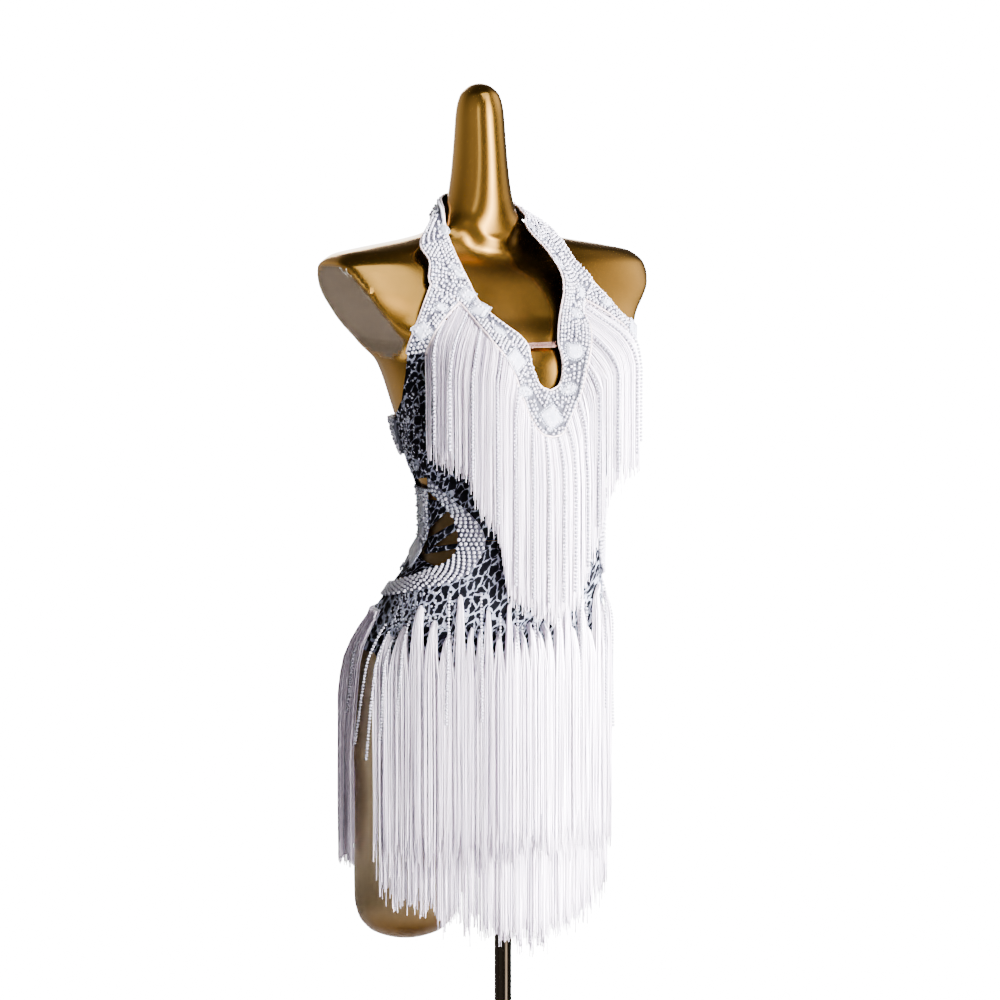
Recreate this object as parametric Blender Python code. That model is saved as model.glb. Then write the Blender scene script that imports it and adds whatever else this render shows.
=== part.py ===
"""Latin dance dress worn on a limbless gold dress form with a pole and a round base.

Metres, +Z up, the wearer faces -Y. A site on the figure is a bearing in degrees about one upright
axis (0 at the front, positive toward the wearer's left, +X) and a height above the floor. Cloth is
a wall made from sites, moved out from the form along its normal.
"""
import math
from bisect import bisect_right
from collections import namedtuple
from functools import lru_cache

import bmesh
import bpy
from mathutils import Vector

# ---------------------------------------------------------------- driving sizes
SEAM = 0.0003                 # gap between pieces that meet
AXIS_Y = 0.020                # upright axis of all bearings
CLEAR = 0.0022                # cloth stands this far off the form
CLOTH = 0.0015                # printed stretch cloth
BEADED = 0.0022               # beaded net, thicker than the cloth
CUT_GAP = 0.0010              # cut edges of neighbouring panels
STONE_RISE = 0.0028           # large sewn stones above the beaded net
CHEST_STRIP_LIFT = 0.0072     # chest heading, over the printed front
CHEST_LOCK_LIFT = 0.0086
HALTER_LIFT = 0.0050          # halter lies on the top margin of the printed front
MARGIN = 0.005                # how far the front reaches under the halter
HIP_STRIP_LIFT = 0.0052       # measured level, as the hips slope
STRIP = 0.0020                # woven heading that carries a fringe
STRIP_DROP = 0.0065
LOCK_DEPTH = 0.0020           # one lock of fringe, front to back
LOCK_TAPER = 0.7              # width of a lock's tip
LOCK_SHARE = 0.65             # share of a fringe's pitch that a lock fills
POLE_RADIUS = 0.0095
POLE_Y = -0.006
BASE_RADIUS = 0.190
BASE_THICK = 0.012
BASE_BEVEL = 0.002
HUB_RADIUS = 0.030
HUB_SHOULDER, HUB_SHOULDER_HEIGHT = 0.026, 0.028
HUB_TOP_RADIUS = 0.020
HUB_HEIGHT = 0.034
CROTCH_HEIGHT = 0.765
CROTCH_SEAM = (-0.017, 0.006, 0.035, 0.065, 0.095, 0.118)    # from front to back, along Y
THIGH_END = 0.602
NECK_TOP = 1.520

Level = namedtuple("Level", "height half_width front back centre roundness")
FORM_LEVELS = (
    Level(0.790, 0.143, 0.084, 0.092, 0.052, 2.2),
    Level(0.830, 0.149, 0.090, 0.102, 0.050, 2.2),
    Level(0.870, 0.152, 0.094, 0.108, 0.048, 2.2),
    Level(0.910, 0.149, 0.094, 0.109, 0.042, 2.2),
    Level(0.950, 0.138, 0.090, 0.104, 0.028, 2.2),
    Level(0.990, 0.123, 0.087, 0.092, 0.008, 2.2),
    Level(1.030, 0.108, 0.083, 0.076, -0.012, 2.2),
    Level(1.060, 0.103, 0.080, 0.068, -0.021, 2.2),
    Level(1.100, 0.105, 0.081, 0.070, -0.022, 2.2),
    Level(1.150, 0.118, 0.084, 0.082, -0.016, 2.2),
    Level(1.200, 0.130, 0.086, 0.094, -0.008, 2.2),
    Level(1.245, 0.142, 0.085, 0.098, 0.000, 2.3),
    Level(1.270, 0.165, 0.079, 0.095, 0.006, 2.8),
    Level(1.295, 0.190, 0.062, 0.090, 0.012, 3.4),
    Level(1.325, 0.204, 0.047, 0.084, 0.016, 4.0),
    Level(1.348, 0.200, 0.039, 0.072, 0.020, 4.0),
    Level(1.361, 0.188, 0.035, 0.056, 0.026, 3.2),
    Level(1.369, 0.150, 0.034, 0.046, 0.031, 2.6),
    Level(1.376, 0.105, 0.035, 0.040, 0.036, 2.2),
    Level(1.383, 0.072, 0.036, 0.038, 0.040, 2.0),
    Level(1.393, 0.054, 0.037, 0.038, 0.041, 2.0),
    Level(1.408, 0.040, 0.037, 0.037, 0.041, 2.0),
    Level(1.435, 0.033, 0.035, 0.035, 0.041, 2.0),
    Level(1.470, 0.029, 0.032, 0.032, 0.041, 2.0),
    Level(NECK_TOP, 0.026, 0.027, 0.027, 0.041, 2.0),
)
Stub = namedtuple("Stub", "height x y radius")
THIGH = (
    Stub(0.742, 0.0775, 0.058, 0.0655), Stub(0.690, 0.080, 0.060, 0.0640),
    Stub(0.640, 0.083, 0.062, 0.0600), Stub(0.621, 0.084, 0.063, 0.0530),
    Stub(0.609, 0.0845, 0.063, 0.0410), Stub(THIGH_END, 0.085, 0.063, 0.0220),
)
THIGH_START, THIGH_SWEEP = -50.0, 280.0     # share of a thigh's ring that meets the hip, degrees
FORM_POINTS = 32
RING_HEIGHTS = (0.790, 0.830, 0.870, 0.905, 0.935, 0.960, 0.985, 1.010, 1.030, 1.050, 1.075, 1.100,
                1.125, 1.150, 1.175, 1.200, 1.220, 1.240, 1.258, 1.272, 1.285, 1.297, 1.311, 1.328,
                1.348, 1.361, 1.369, 1.376, 1.383, 1.393, 1.408, 1.435, 1.475, NECK_TOP)
ARM_CUT_TOP, ARM_CUT_SLOPE, ARM_CUT_FOOT = 0.1965, 0.62, 0.146
ARM_CUT_HEIGHT = 1.350
LEFT_SHOULDER, LEFT_FROM, LEFT_FULL = 0.011, 1.292, 1.322    # the left shoulder is a little wider
FRONT_SQUARE = 0.45           # share of the shoulders' squareness that the chest has
FORM_HEIGHTS = [row.height for row in FORM_LEVELS]

Cup = namedtuple("Cup", "bearing height rise spread above below")
CUP = Cup(40.0, 1.235, 0.029, 19.5, 0.052, 0.040)

# halter: one row for each station from the centre front up and round to the nape
Station = namedtuple("Station", "inner inner_height inner_lift outer outer_height outer_lift")
HALTER_RIGHT = (
    Station(0.0, 1.2150, 0.0, 0.0, 1.166, 0.0),
    Station(6.5, 1.2210, 0.0, 7.0, 1.171, 0.0),
    Station(10.5, 1.236, 0.0, 13.0, 1.188, 0.0),
    Station(12.0, 1.249, 0.0, 19.0, 1.214, 0.0),
    Station(12.0, 1.261, 0.0, 25.0, 1.244, 0.0),
    Station(17.0, 1.271, 0.001, 32.0, 1.264, 0.0),
    Station(26.0, 1.281, 0.002, 38.0, 1.279, 0.0),
    Station(36.0, 1.294, 0.003, 44.0, 1.291, 0.0),
    Station(45.0, 1.310, 0.003, 53.0, 1.307, 0.0),
    Station(52.0, 1.327, 0.003, 66.5, 1.327, 0.0),
    Station(62.0, 1.350, 0.003, 71.0, 1.350, 0.001),
    Station(80.0, 1.3765, 0.002, 79.5, 1.3665, 0.002),
    Station(119.0, 1.406, 0.001, 107.0, 1.390, 0.004),
    Station(150.0, 1.421, 0.0, 142.0, 1.394, 0.002),
    Station(180.0, 1.426, 0.0, 180.0, 1.394, 0.001),
)
HALTER_LEFT = (
    HALTER_RIGHT[0],
    Station(6.5, 1.2210, 0.0, 6.5, 1.171, 0.0),
    Station(10.0, 1.236, 0.0, 12.0, 1.188, 0.0),
    Station(10.5, 1.249, 0.001, 18.0, 1.209, 0.0),
    Station(11.0, 1.262, 0.002, 22.5, 1.239, 0.0),
    Station(14.0, 1.273, 0.004, 28.0, 1.262, 0.0),
    Station(20.0, 1.284, 0.007, 34.0, 1.278, 0.0),
    Station(28.0, 1.297, 0.010, 42.0, 1.293, 0.0),
    Station(37.0, 1.312, 0.012, 52.0, 1.307, 0.0),
    Station(45.0, 1.331, 0.014, 64.0, 1.327, 0.0),
    Station(50.0, 1.353, 0.011, 65.0, 1.347, 0.001),
    Station(68.0, 1.381, 0.005, 77.0, 1.371, 0.002),
    Station(116.0, 1.406, 0.003, 107.0, 1.385, 0.006),
    Station(150.0, 1.421, 0.001, 142.0, 1.392, 0.002),
    HALTER_RIGHT[-1],
)
HALTER_STEPS = (1, 2, 3, 3, 2, 2, 2, 2, 3, 4, 3, 5, 6, 4)
HALTER_ACROSS = 5
APEX = 8                      # halter station where the armhole leg begins
LEG_RIGHT = (
    Station(56.0, 1.286, 0.0, 65.0, 1.297, 0.0),
    Station(59.0, 1.258, 0.0, 67.0, 1.261, 0.0),
)
LEG_LEFT = (
    Station(55.5, 1.286, 0.0, 62.5, 1.297, 0.0),
    Station(58.5, 1.258, 0.0, 66.0, 1.261, 0.0),
)
LEG_STEPS = 4

# bar above the keyhole
BAR_FROM, BAR_TO, BAR_STEPS = -11.5, 10.0, 6
BAR_FOOT, BAR_TOP = 1.2595, 1.2645
BAR_LIFT, BAR_THICK = 0.0042, 0.002

Stone = namedtuple("Stone", "bearing height size")
HALTER_STONES = (
    Stone(-92.0, 1.384, 0.014), Stone(-61.0, 1.336, 0.014), Stone(-60.0, 1.310, 0.015),
    Stone(-60.0, 1.286, 0.014), Stone(-50.0, 1.316, 0.014), Stone(-37.0, 1.298, 0.015),
    Stone(-27.0, 1.272, 0.016), Stone(-20.0, 1.250, 0.018), Stone(-15.0, 1.216, 0.018),
    Stone(0.0, 1.189, 0.022),
    Stone(15.0, 1.216, 0.018), Stone(20.0, 1.250, 0.018), Stone(26.0, 1.271, 0.016),
    Stone(38.0, 1.295, 0.015), Stone(48.0, 1.317, 0.014), Stone(60.0, 1.310, 0.015),
    Stone(60.0, 1.286, 0.014), Stone(58.0, 1.338, 0.014), Stone(92.0, 1.384, 0.014),
)

# waist cut-out: front trim runs down the front of the hole, then round the hip to the back
Trim = namedtuple("Trim", "outer outer_height inner inner_height")
FRONT_TRIM = (
    Trim(65.0, 1.124, 65.5, 1.110),
    Trim(55.0, 1.106, 59.0, 1.100),
    Trim(44.0, 1.088, 52.0, 1.085),
    Trim(38.0, 1.072, 49.0, 1.072),
    Trim(36.0, 1.058, 48.5, 1.057),
    Trim(37.5, 1.044, 50.5, 1.043),
    Trim(44.0, 1.024, 57.0, 1.031),
    Trim(55.0, 1.012, 65.0, 1.024),
    Trim(74.0, 1.000, 77.0, 1.013),
    Trim(98.0, 0.988, 99.0, 1.000),
    Trim(125.0, 0.982, 125.0, 0.994),
    Trim(179.6, 0.978, 179.6, 0.990),
)
FRONT_TRIM_STEPS = (2, 2, 2, 2, 2, 2, 2, 2, 3, 3, 5)
BACK_TRIM = (
    Trim(80.0, 1.114, 66.0, 1.112),
    Trim(80.0, 1.098, 66.5, 1.098),
    Trim(81.0, 1.080, 67.0, 1.080),
    Trim(83.0, 1.060, 67.5, 1.062),
    Trim(88.0, 1.044, 72.0, 1.045),
    Trim(95.0, 1.030, 84.0, 1.032),
    Trim(105.0, 1.011, 98.0, 1.014),
)
BACK_TRIM_STEPS = (2, 2, 2, 2, 2, 2)
TRIM_STONES = (Stone(81.0, 1.046, 0.024), Stone(74.0, 1.090, 0.014), Stone(-81.0, 1.046, 0.024),
               Stone(-74.0, 1.090, 0.014))
Strap = namedtuple("Strap", "name back back_height front front_height width")
STRAPS = (
    Strap("upper", 65.6, 1.086, 58.6, 1.0940, 0.011),
    Strap("middle", 66.2, 1.068, 51.6, 1.0775, 0.010),
    Strap("lower", 68.5, 1.054, 49.4, 1.0560, 0.006),
)

# printed panels: edge heights at bearings, mirrored left and right
Edge = namedtuple("Edge", "bearing height")
WAIST_HEIGHT = 1.058
ARMHOLE = (Edge(50, 1.294), Edge(56, 1.289), Edge(60, 1.272), Edge(67, 1.262), Edge(71, 1.230),
           Edge(75, 1.207), Edge(84, 1.188))
BODICE_FOOT = (Edge(0, WAIST_HEIGHT), Edge(36, WAIST_HEIGHT), Edge(38, 1.072), Edge(44, 1.088),
               Edge(55, 1.106), Edge(65, 1.124), Edge(84, 1.118))
BODICE_ROWS = 12
BODICE_CROWD = 1.5            # rows lie closer over the bust
HIP_TOP = (Edge(0, WAIST_HEIGHT), Edge(36, WAIST_HEIGHT), Edge(37.5, 1.044), Edge(44, 1.024),
           Edge(55, 1.012), Edge(74, 1.000), Edge(98, 0.988), Edge(125, 0.982), Edge(180, 0.978))
HIP_FOOT = (Edge(0, 0.900), Edge(78, 0.900), Edge(92, 0.929), Edge(108, 0.929), Edge(122, 0.900),
            Edge(180, 0.900))
SIDE_SEAM = 92.0
HIP_ROWS = 5
BAND_TOP, BAND_FOOT = 1.187, 1.147
BAND_FROM = 84.3
BAND_STEPS = 26
BAND_SWELL = 0.0045            # rows of large stones along the band
BACK_PANEL_EDGE = (Edge(110.0, 1.001), Edge(106.0, 1.012), Edge(96.0, 1.030), Edge(89.0, 1.044),
                   Edge(83.8, 1.060), Edge(81.8, 1.080), Edge(80.8, 1.098), Edge(80.8, 1.114),
                   Edge(84.3, 1.118), Edge(84.3, 1.145))
BACK_PANEL_STEPS = 20
TRIM_ROUND_BACK = 0.0135      # depth of the trim between the back panel and the hip

# fringes: hem heights at bearings, and the lines that the locks hang from
# bearings at the bust of the locks that hang from the halter's stations and down its leg
CHEST_SPREAD = (0.0, 7.5, 13.5, 19.5, 26.0, 32.5, 38.5, 44.5, 50.5, 54.0, 57.5)
CHEST_HEM = (Edge(-65, 1.139), Edge(-44, 1.124), Edge(-36, 1.103), Edge(-21, 1.010), Edge(-7, 0.966),
             Edge(2, 0.972), Edge(21, 1.069), Edge(31, 1.098), Edge(44, 1.129), Edge(65, 1.157))
CHEST_LOCKS = 44
UPPER_ROOTS = (Edge(0, 0.932), Edge(15, 0.990), Edge(26, 0.931), Edge(34, 0.992), Edge(47, 0.938),
               Edge(54, 1.003), Edge(65, 0.946), Edge(76, 0.991), Edge(87, 0.946))
UPPER_HEM = (Edge(-87, 0.716), Edge(0, 0.722), Edge(87, 0.716))
UPPER_LOCKS = 42
UNDER_ROOT = 0.914
UNDER_HEM = (Edge(-87, 0.666), Edge(0, 0.612), Edge(87, 0.676))
UNDER_LOCKS = 30
BACK_ROOTS = (Edge(106, 0.974), Edge(180, 0.968))
BACK_HEM = (Edge(106, 0.706), Edge(180, 0.700))
BACK_LOCKS = 32
FRINGE_SIDE = 87.0
BACK_SIDE = 106.0
BUST_HEIGHT = 1.232
HIP_HEIGHT = 0.866


# ---------------------------------------------------------------- the figure
def tangent(values, k):
    """Slope of a smooth curve through the rows at row k, flat where it turns."""
    if k == 0 or k == len(values) - 1:
        j = min(k, len(values) - 2)
        return (values[j + 1] - values[j]) / (FORM_HEIGHTS[j + 1] - FORM_HEIGHTS[j])
    before = (values[k] - values[k - 1]) / (FORM_HEIGHTS[k] - FORM_HEIGHTS[k - 1])
    after = (values[k + 1] - values[k]) / (FORM_HEIGHTS[k + 1] - FORM_HEIGHTS[k])
    if before * after <= 0:
        return 0.0
    return 2 * before * after / (before + after)


@lru_cache(maxsize=None)
def section(height):
    """Half width, front, back, centre and roundness of the form at a height."""
    k = min(max(bisect_right(FORM_HEIGHTS, height) - 1, 0), len(FORM_HEIGHTS) - 2)
    step = FORM_HEIGHTS[k + 1] - FORM_HEIGHTS[k]
    t = (height - FORM_HEIGHTS[k]) / step
    result = []
    for column in range(1, 6):
        values = [row[column] for row in FORM_LEVELS]
        result.append((2 * t**3 - 3 * t**2 + 1) * values[k]
                      + (t**3 - 2 * t**2 + t) * step * tangent(values, k)
                      + (3 * t**2 - 2 * t**3) * values[k + 1]
                      + (t**3 - t**2) * step * tangent(values, k + 1))
    return tuple(result)


def front_power(power):
    """Roundness of the chest, which is softer than the back of the shoulders."""
    return 2.0 + (power - 2.0) * FRONT_SQUARE


def arm_cut(height, side):
    """Distance from the middle at which the shoulder of a side is cut flat."""
    extra = 0.0
    if side > 0:
        extra = LEFT_SHOULDER * min(max((height - LEFT_FROM) / (LEFT_FULL - LEFT_FROM), 0.0), 1.0)
    return max(ARM_CUT_TOP + ARM_CUT_SLOPE * (height - ARM_CUT_HEIGHT), ARM_CUT_FOOT) + extra


def turn(angle):
    """An angle brought between -180 and 180."""
    return (angle + 180.0) % 360.0 - 180.0


@lru_cache(maxsize=None)
def reach(bearing, height):
    """Distance from the upright axis to the form's skin."""
    width, front, back, centre, power = section(height)
    side, ahead = math.sin(math.radians(bearing)), math.cos(math.radians(bearing))
    near, far = 0.0, 0.4
    for _ in range(36):
        middle = (near + far) / 2
        along = AXIS_Y - middle * ahead - centre
        depth = front if along < 0 else back
        square = front_power(power) if along < 0 else power
        outside = abs(middle * side / width)**square + abs(along / depth)**square > 1
        near, far = (near, middle) if outside else (middle, far)
    spread = CUP.above if height > CUP.height else CUP.below
    rise = CUP.rise * math.exp(-((height - CUP.height) / spread)**2)
    near = min(near, arm_cut(height, side) / max(abs(side), 0.01))
    return near + sum(rise * math.exp(-(turn(bearing - s * CUP.bearing) / CUP.spread)**2)
                      for s in (-1, 1))


def around(bearing, height, distance):
    """Point at a bearing, a height and a distance from the axis."""
    angle = math.radians(bearing)
    return Vector((distance * math.sin(angle), AXIS_Y - distance * math.cos(angle), height))


def skin(bearing, height):
    """Point on the form."""
    return around(bearing, height, reach(round(bearing, 4), round(height, 6)))


def lifted(bearing, height, lift):
    """Point moved out from the form along its normal."""
    across = skin(bearing + 1.0, height) - skin(bearing - 1.0, height)
    upward = skin(bearing, height + 0.002) - skin(bearing, height - 0.002)
    return skin(bearing, height) + across.cross(upward).normalized() * lift


def edge_height(edges, bearing):
    """Height of an edge at a bearing, straight between its rows."""
    for first, second in zip(edges, edges[1:]):
        if bearing <= second.bearing:
            part = (bearing - first.bearing) / (second.bearing - first.bearing)
            return first.height + (second.height - first.height) * max(part, 0.0)
    return edges[-1].height


def blend(first, second, part):
    """Row between two rows of numbers."""
    return [a + (b - a) * part for a, b in zip(first, second)]


def stations(rows, steps):
    """Rows with the given number of even steps between each two."""
    result = []
    for first, second, count in zip(rows, rows[1:], steps):
        result += [blend(first, second, k / count) for k in range(count)]
    return result + [list(rows[-1])]


# ---------------------------------------------------------------- solids
def material(name, colour, roughness, metallic=0.0):
    """Plain material of one sub-part."""
    item = bpy.data.materials.new(name)
    item.use_nodes = True
    shader = item.node_tree.nodes["Principled BSDF"]
    shader.inputs["Base Color"].default_value = (*colour, 1.0)
    shader.inputs["Roughness"].default_value = roughness
    shader.inputs["Metallic"].default_value = metallic
    return item


def solid(name, points, faces, look):
    """One closed, smooth, outward facing mesh object."""
    mesh = bpy.data.meshes.new(name)
    mesh.from_pydata([tuple(p) for p in points], [], faces)
    work = bmesh.new()
    work.from_mesh(mesh)
    bmesh.ops.triangulate(work, faces=work.faces)
    bmesh.ops.recalc_face_normals(work, faces=work.faces)
    for face in work.faces:
        face.smooth = True
    work.to_mesh(mesh)
    work.free()
    mesh.materials.append(look)
    item = bpy.data.objects.new(name, mesh)
    bpy.context.scene.collection.objects.link(item)
    return item


class Wall:
    """Cloth wall: pairs of inner and outer points, faces between them, edges closed."""

    def __init__(self):
        self.inner = []
        self.outer = []
        self.cells = []

    def site(self, bearing, height, inner_lift, thick):
        """Add a pair of points at a site and give its number."""
        self.inner.append(lifted(bearing, height, inner_lift))
        self.outer.append(lifted(bearing, height, inner_lift + thick))
        return len(self.inner) - 1

    def bare(self, point):
        """Add an inner point alone and give its number; thicken() gives it its outer point."""
        self.inner.append(point)
        self.outer.append(None)
        return len(self.inner) - 1

    def thicken(self, thick, stones):
        """Set outer points along the wall's own normals, raised where large stones sit."""
        normals = [Vector() for _ in self.inner]
        for a, b, c, d in self.cells:
            normal = (self.inner[c] - self.inner[a]).cross(self.inner[d] - self.inner[b])
            for k in (a, b, c, d):
                normals[k] += normal
        point = self.inner[0]
        sign = 1.0 if normals[0].dot(Vector((point.x, point.y - AXIS_Y, 0.0))) > 0 else -1.0
        tops = [skin(stone.bearing, stone.height) for stone in stones]
        for k, point in enumerate(self.inner):
            rise = 0.0
            for stone, top in zip(stones, tops):
                away = (top - point).length / (stone.size / 2 + HALTER_LIFT)
                rise = max(rise, STONE_RISE * (1.0 - away**4) if away < 1.0 else 0.0)
            self.outer[k] = point + normals[k].normalized() * sign * (thick + rise)

    def grid(self, rows, closed=False):
        """Join rows of site numbers with cells."""
        pairs = list(zip(rows, rows[1:]))
        if closed:
            pairs.append((rows[-1], rows[0]))
        for lower, upper in pairs:
            for k in range(len(lower) - 1):
                self.cells.append((lower[k], lower[k + 1], upper[k + 1], upper[k]))

    def build(self, name, look):
        """Close the wall's cut edges and make the solid."""
        count = len(self.inner)
        faces = [tuple(reversed(cell)) for cell in self.cells]
        faces += [tuple(i + count for i in cell) for cell in self.cells]
        edges = {(c[k], c[(k + 1) % 4]) for c in self.cells for k in range(4)}
        faces += [(a, b, b + count, a + count) for a, b in edges if (b, a) not in edges]
        return solid(name, self.inner + self.outer, faces, look)


def stone_rise(bearing, height, stones):
    """How far large stones lift the outer face at a site."""
    here = skin(bearing, height)
    rise = 0.0
    for stone in stones:
        away = (skin(stone.bearing, stone.height) - here).length / (stone.size / 2)
        rise = max(rise, STONE_RISE * (1.0 - away**4) if away < 1.0 else 0.0)
    return rise


def ribbon(name, rows, side, across, stones, thick, look, lift=CLEAR):
    """Beaded ribbon between two edges, one row of sites for each station."""
    wall = Wall()
    lines = []
    for outer, outer_height, inner, inner_height in rows:
        line = []
        for k in range(across + 1):
            bearing, height = blend((outer, outer_height), (inner, inner_height), k / across)
            rise = stone_rise(side * bearing, height, stones)
            line.append(wall.site(side * bearing, height, lift, thick + rise))
        lines.append(line if side > 0 else line[::-1])
    wall.grid(lines)
    return wall.build(name, look)


def panel(name, columns, top, foot, rows, look, crowd=1.0, lift=CLEAR, thick=CLOTH):
    """Printed panel from a foot edge up to a height at each bearing, a column for each bearing."""
    wall = Wall()
    lines = []
    for bearing in columns:
        low = edge_height(foot, abs(turn(bearing))) + CUT_GAP / 2
        high = top(bearing)
        lines.append([wall.site(bearing, high - (high - low) * (1 - k / rows)**crowd, lift, thick)
                      for k in range(rows + 1)])
    wall.grid(lines)
    return wall.build(name, look)


# ---------------------------------------------------------------- form and stand
def form_ring(height, count, turned):
    """Section ring, its points even in the section's own angle."""
    width, front, back, centre, power = section(height)
    ring = []
    for k in range(count):
        angle = math.radians((k + turned) * 360 / count)
        side, ahead = math.sin(angle), math.cos(angle)
        square = front_power(power) if ahead > 0 else power
        x = width * math.copysign(abs(side)**(2 / square), side)
        y = centre - (front if ahead > 0 else back) * math.copysign(abs(ahead)**(2 / square), ahead)
        x = math.copysign(min(abs(x), arm_cut(height, side)), x)
        ring.append(skin(math.degrees(math.atan2(x, AXIS_Y - y)), height))
    return ring


def thigh_rings(side, outer, inner):
    """Rings of one short rounded thigh, with points for the hip and for the crotch seam."""
    angles = [THIGH_START + THIGH_SWEEP * k / (outer - 1) for k in range(outer)]
    angles += [THIGH_START + THIGH_SWEEP + (360 - THIGH_SWEEP) * (k + 1) / (inner + 1)
               for k in range(inner)]
    rings = []
    for stub in THIGH:
        rings.append([Vector((side * (stub.x + stub.radius * math.sin(math.radians(a))),
                              stub.y - stub.radius * math.cos(math.radians(a)), stub.height))
                      for a in angles])
    return rings


def build_form(look):
    """Torso with neck, cut shoulders and two thigh ends, one closed solid."""
    count = FORM_POINTS
    points, faces = [], []

    def add(ring):
        points.extend(ring)
        return list(range(len(points) - len(ring), len(points)))

    def bridge(low, high):
        for k in range(len(low)):
            j = (k + 1) % len(low)
            faces.append((low[k], low[j], high[j], high[k]))

    rings = [add(form_ring(height, count, 0.5)) for height in RING_HEIGHTS]
    for low, high in zip(rings, rings[1:]):
        bridge(low, high)
    neck = section(NECK_TOP)
    previous = rings[-1]
    for angle in (35, 65):
        shrink, rise = math.cos(math.radians(angle)), math.sin(math.radians(angle))
        cap = [Vector((p.x * shrink, neck[3] + (p.y - neck[3]) * shrink, NECK_TOP + rise * neck[0]))
               for p in form_ring(NECK_TOP, count, 0.5)]
        ring = add(cap)
        bridge(previous, ring)
        previous = ring
    crown = add([Vector((0.0, neck[3], NECK_TOP + neck[0] * 1.02))])[0]
    faces.extend((previous[k], previous[(k + 1) % count], crown) for k in range(count))

    half = count // 2
    slot = abs(points[rings[0][0]].x)
    seams = {}
    for side in (1, -1):
        seams[side] = add([Vector((side * slot, y, CROTCH_HEIGHT)) for y in CROTCH_SEAM])
    front = (rings[0][0], rings[0][count - 1])
    back = (rings[0][half - 1], rings[0][half])
    strip = [front] + list(zip(seams[1], seams[-1])) + [back]
    faces.extend((a[0], a[1], b[1], b[0]) for a, b in zip(strip, strip[1:]))
    for side in (1, -1):
        outer = rings[0][:half] if side > 0 else [rings[0][count - 1 - k] for k in range(half)]
        previous = outer + list(reversed(seams[side]))
        for ring in thigh_rings(side, len(outer), len(CROTCH_SEAM)):
            numbers = add(ring)
            bridge(numbers, previous)
            previous = numbers
        centre = sum((points[k] for k in previous), Vector()) / len(previous)
        end = add([centre - Vector((0, 0, 0.003))])[0]
        faces.extend((previous[k], previous[(k + 1) % len(previous)], end)
                     for k in range(len(previous)))
    solid("dress_form", points, faces, look)


def build_turned(name, profile, centre_y, count, look):
    """Turned solid about an upright line, from a profile of radius and height."""
    points, faces = [], []
    for radius, height in profile:
        points += [Vector((radius * math.sin(2 * math.pi * k / count),
                           centre_y - radius * math.cos(2 * math.pi * k / count), height))
                   for k in range(count)]
    for row in range(len(profile) - 1):
        for k in range(count):
            j = (k + 1) % count
            faces.append((row * count + k, row * count + j,
                          (row + 1) * count + j, (row + 1) * count + k))
    faces.append(tuple(range(count)))
    faces.append(tuple(range(len(points) - count, len(points))))
    solid(name, points, faces, look)


def build_stand(steel, base):
    """Pole up to the form and a round foot with a low hub."""
    build_turned("stand_pole", [(POLE_RADIUS, HUB_HEIGHT + SEAM),
                                (POLE_RADIUS, CROTCH_HEIGHT - SEAM)], POLE_Y, 24, steel)
    build_turned("stand_base", [(BASE_RADIUS, 0.0), (BASE_RADIUS, BASE_THICK - BASE_BEVEL),
                                (BASE_RADIUS - BASE_BEVEL, BASE_THICK), (HUB_RADIUS, BASE_THICK),
                                (HUB_SHOULDER, HUB_SHOULDER_HEIGHT),
                                (HUB_TOP_RADIUS, HUB_HEIGHT)], POLE_Y, 40, base)


# ---------------------------------------------------------------- halter and bodice
def push_out(point, clearance):
    """Point kept at least a clearance off the form."""
    for _ in range(3):
        bearing = math.degrees(math.atan2(point.x, AXIS_Y - point.y))
        foot = skin(bearing, point.z)
        across = skin(bearing + 1.0, point.z) - skin(bearing - 1.0, point.z)
        upward = skin(bearing, point.z + 0.002) - skin(bearing, point.z - 0.002)
        normal = across.cross(upward).normalized()
        off = (point - foot).dot(normal)
        if off < clearance:
            point = point + normal * (clearance - off)
    return point


def smooth_path(knots, place):
    """Point on a smooth path through knots, at a place counted in knots."""
    k = min(int(place), len(knots) - 2)
    t = place - k
    before = knots[k - 1] if k else 2 * knots[0] - knots[1]
    after = knots[k + 2] if k + 2 < len(knots) else 2 * knots[-1] - knots[-2]
    start, end = knots[k], knots[k + 1]
    return (start * (2 * t**3 - 3 * t**2 + 1) + end * (3 * t**2 - 2 * t**3)
            + (end - before) * (t**3 - 2 * t**2 + t) / 2 + (after - start) * (t**3 - t**2) / 2)


def edge_knots(rows, side, inner):
    """Knots of the halter's inner or outer edge on one side."""
    knots = []
    for row in rows:
        if inner:
            knots.append(lifted(side * row.inner, row.inner_height, HALTER_LIFT + row.inner_lift))
        else:
            knots.append(lifted(side * row.outer, row.outer_height, HALTER_LIFT + row.outer_lift))
    return knots


HALTERS = {-1: HALTER_RIGHT, 1: HALTER_LEFT}
LEGS = {-1: LEG_RIGHT, 1: LEG_LEFT}


@lru_cache(maxsize=None)
def halter_edges(side):
    """Knots of the four edges of one half: inner, outer, leg lower and leg upper."""
    inner = edge_knots(HALTERS[side], side, True)
    outer = edge_knots(HALTERS[side], side, False)
    leg_low = [outer[APEX]] + edge_knots(LEGS[side], side, True)
    leg_high = [outer[APEX + 1]] + edge_knots(LEGS[side], side, False)
    return inner, outer, leg_low, leg_high


def across_points(start, end, count):
    """Points from edge to edge, kept off the form."""
    return [push_out(start.lerp(end, k / count), HALTER_LIFT) for k in range(count + 1)]


def halter_places():
    """Places along half of the halter, counted in stations, from the front to the nape."""
    places = []
    for station, count in enumerate(HALTER_STEPS):
        places += [station + k / count for k in range(count)]
    return places + [len(HALTER_RIGHT) - 1.0]


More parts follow.
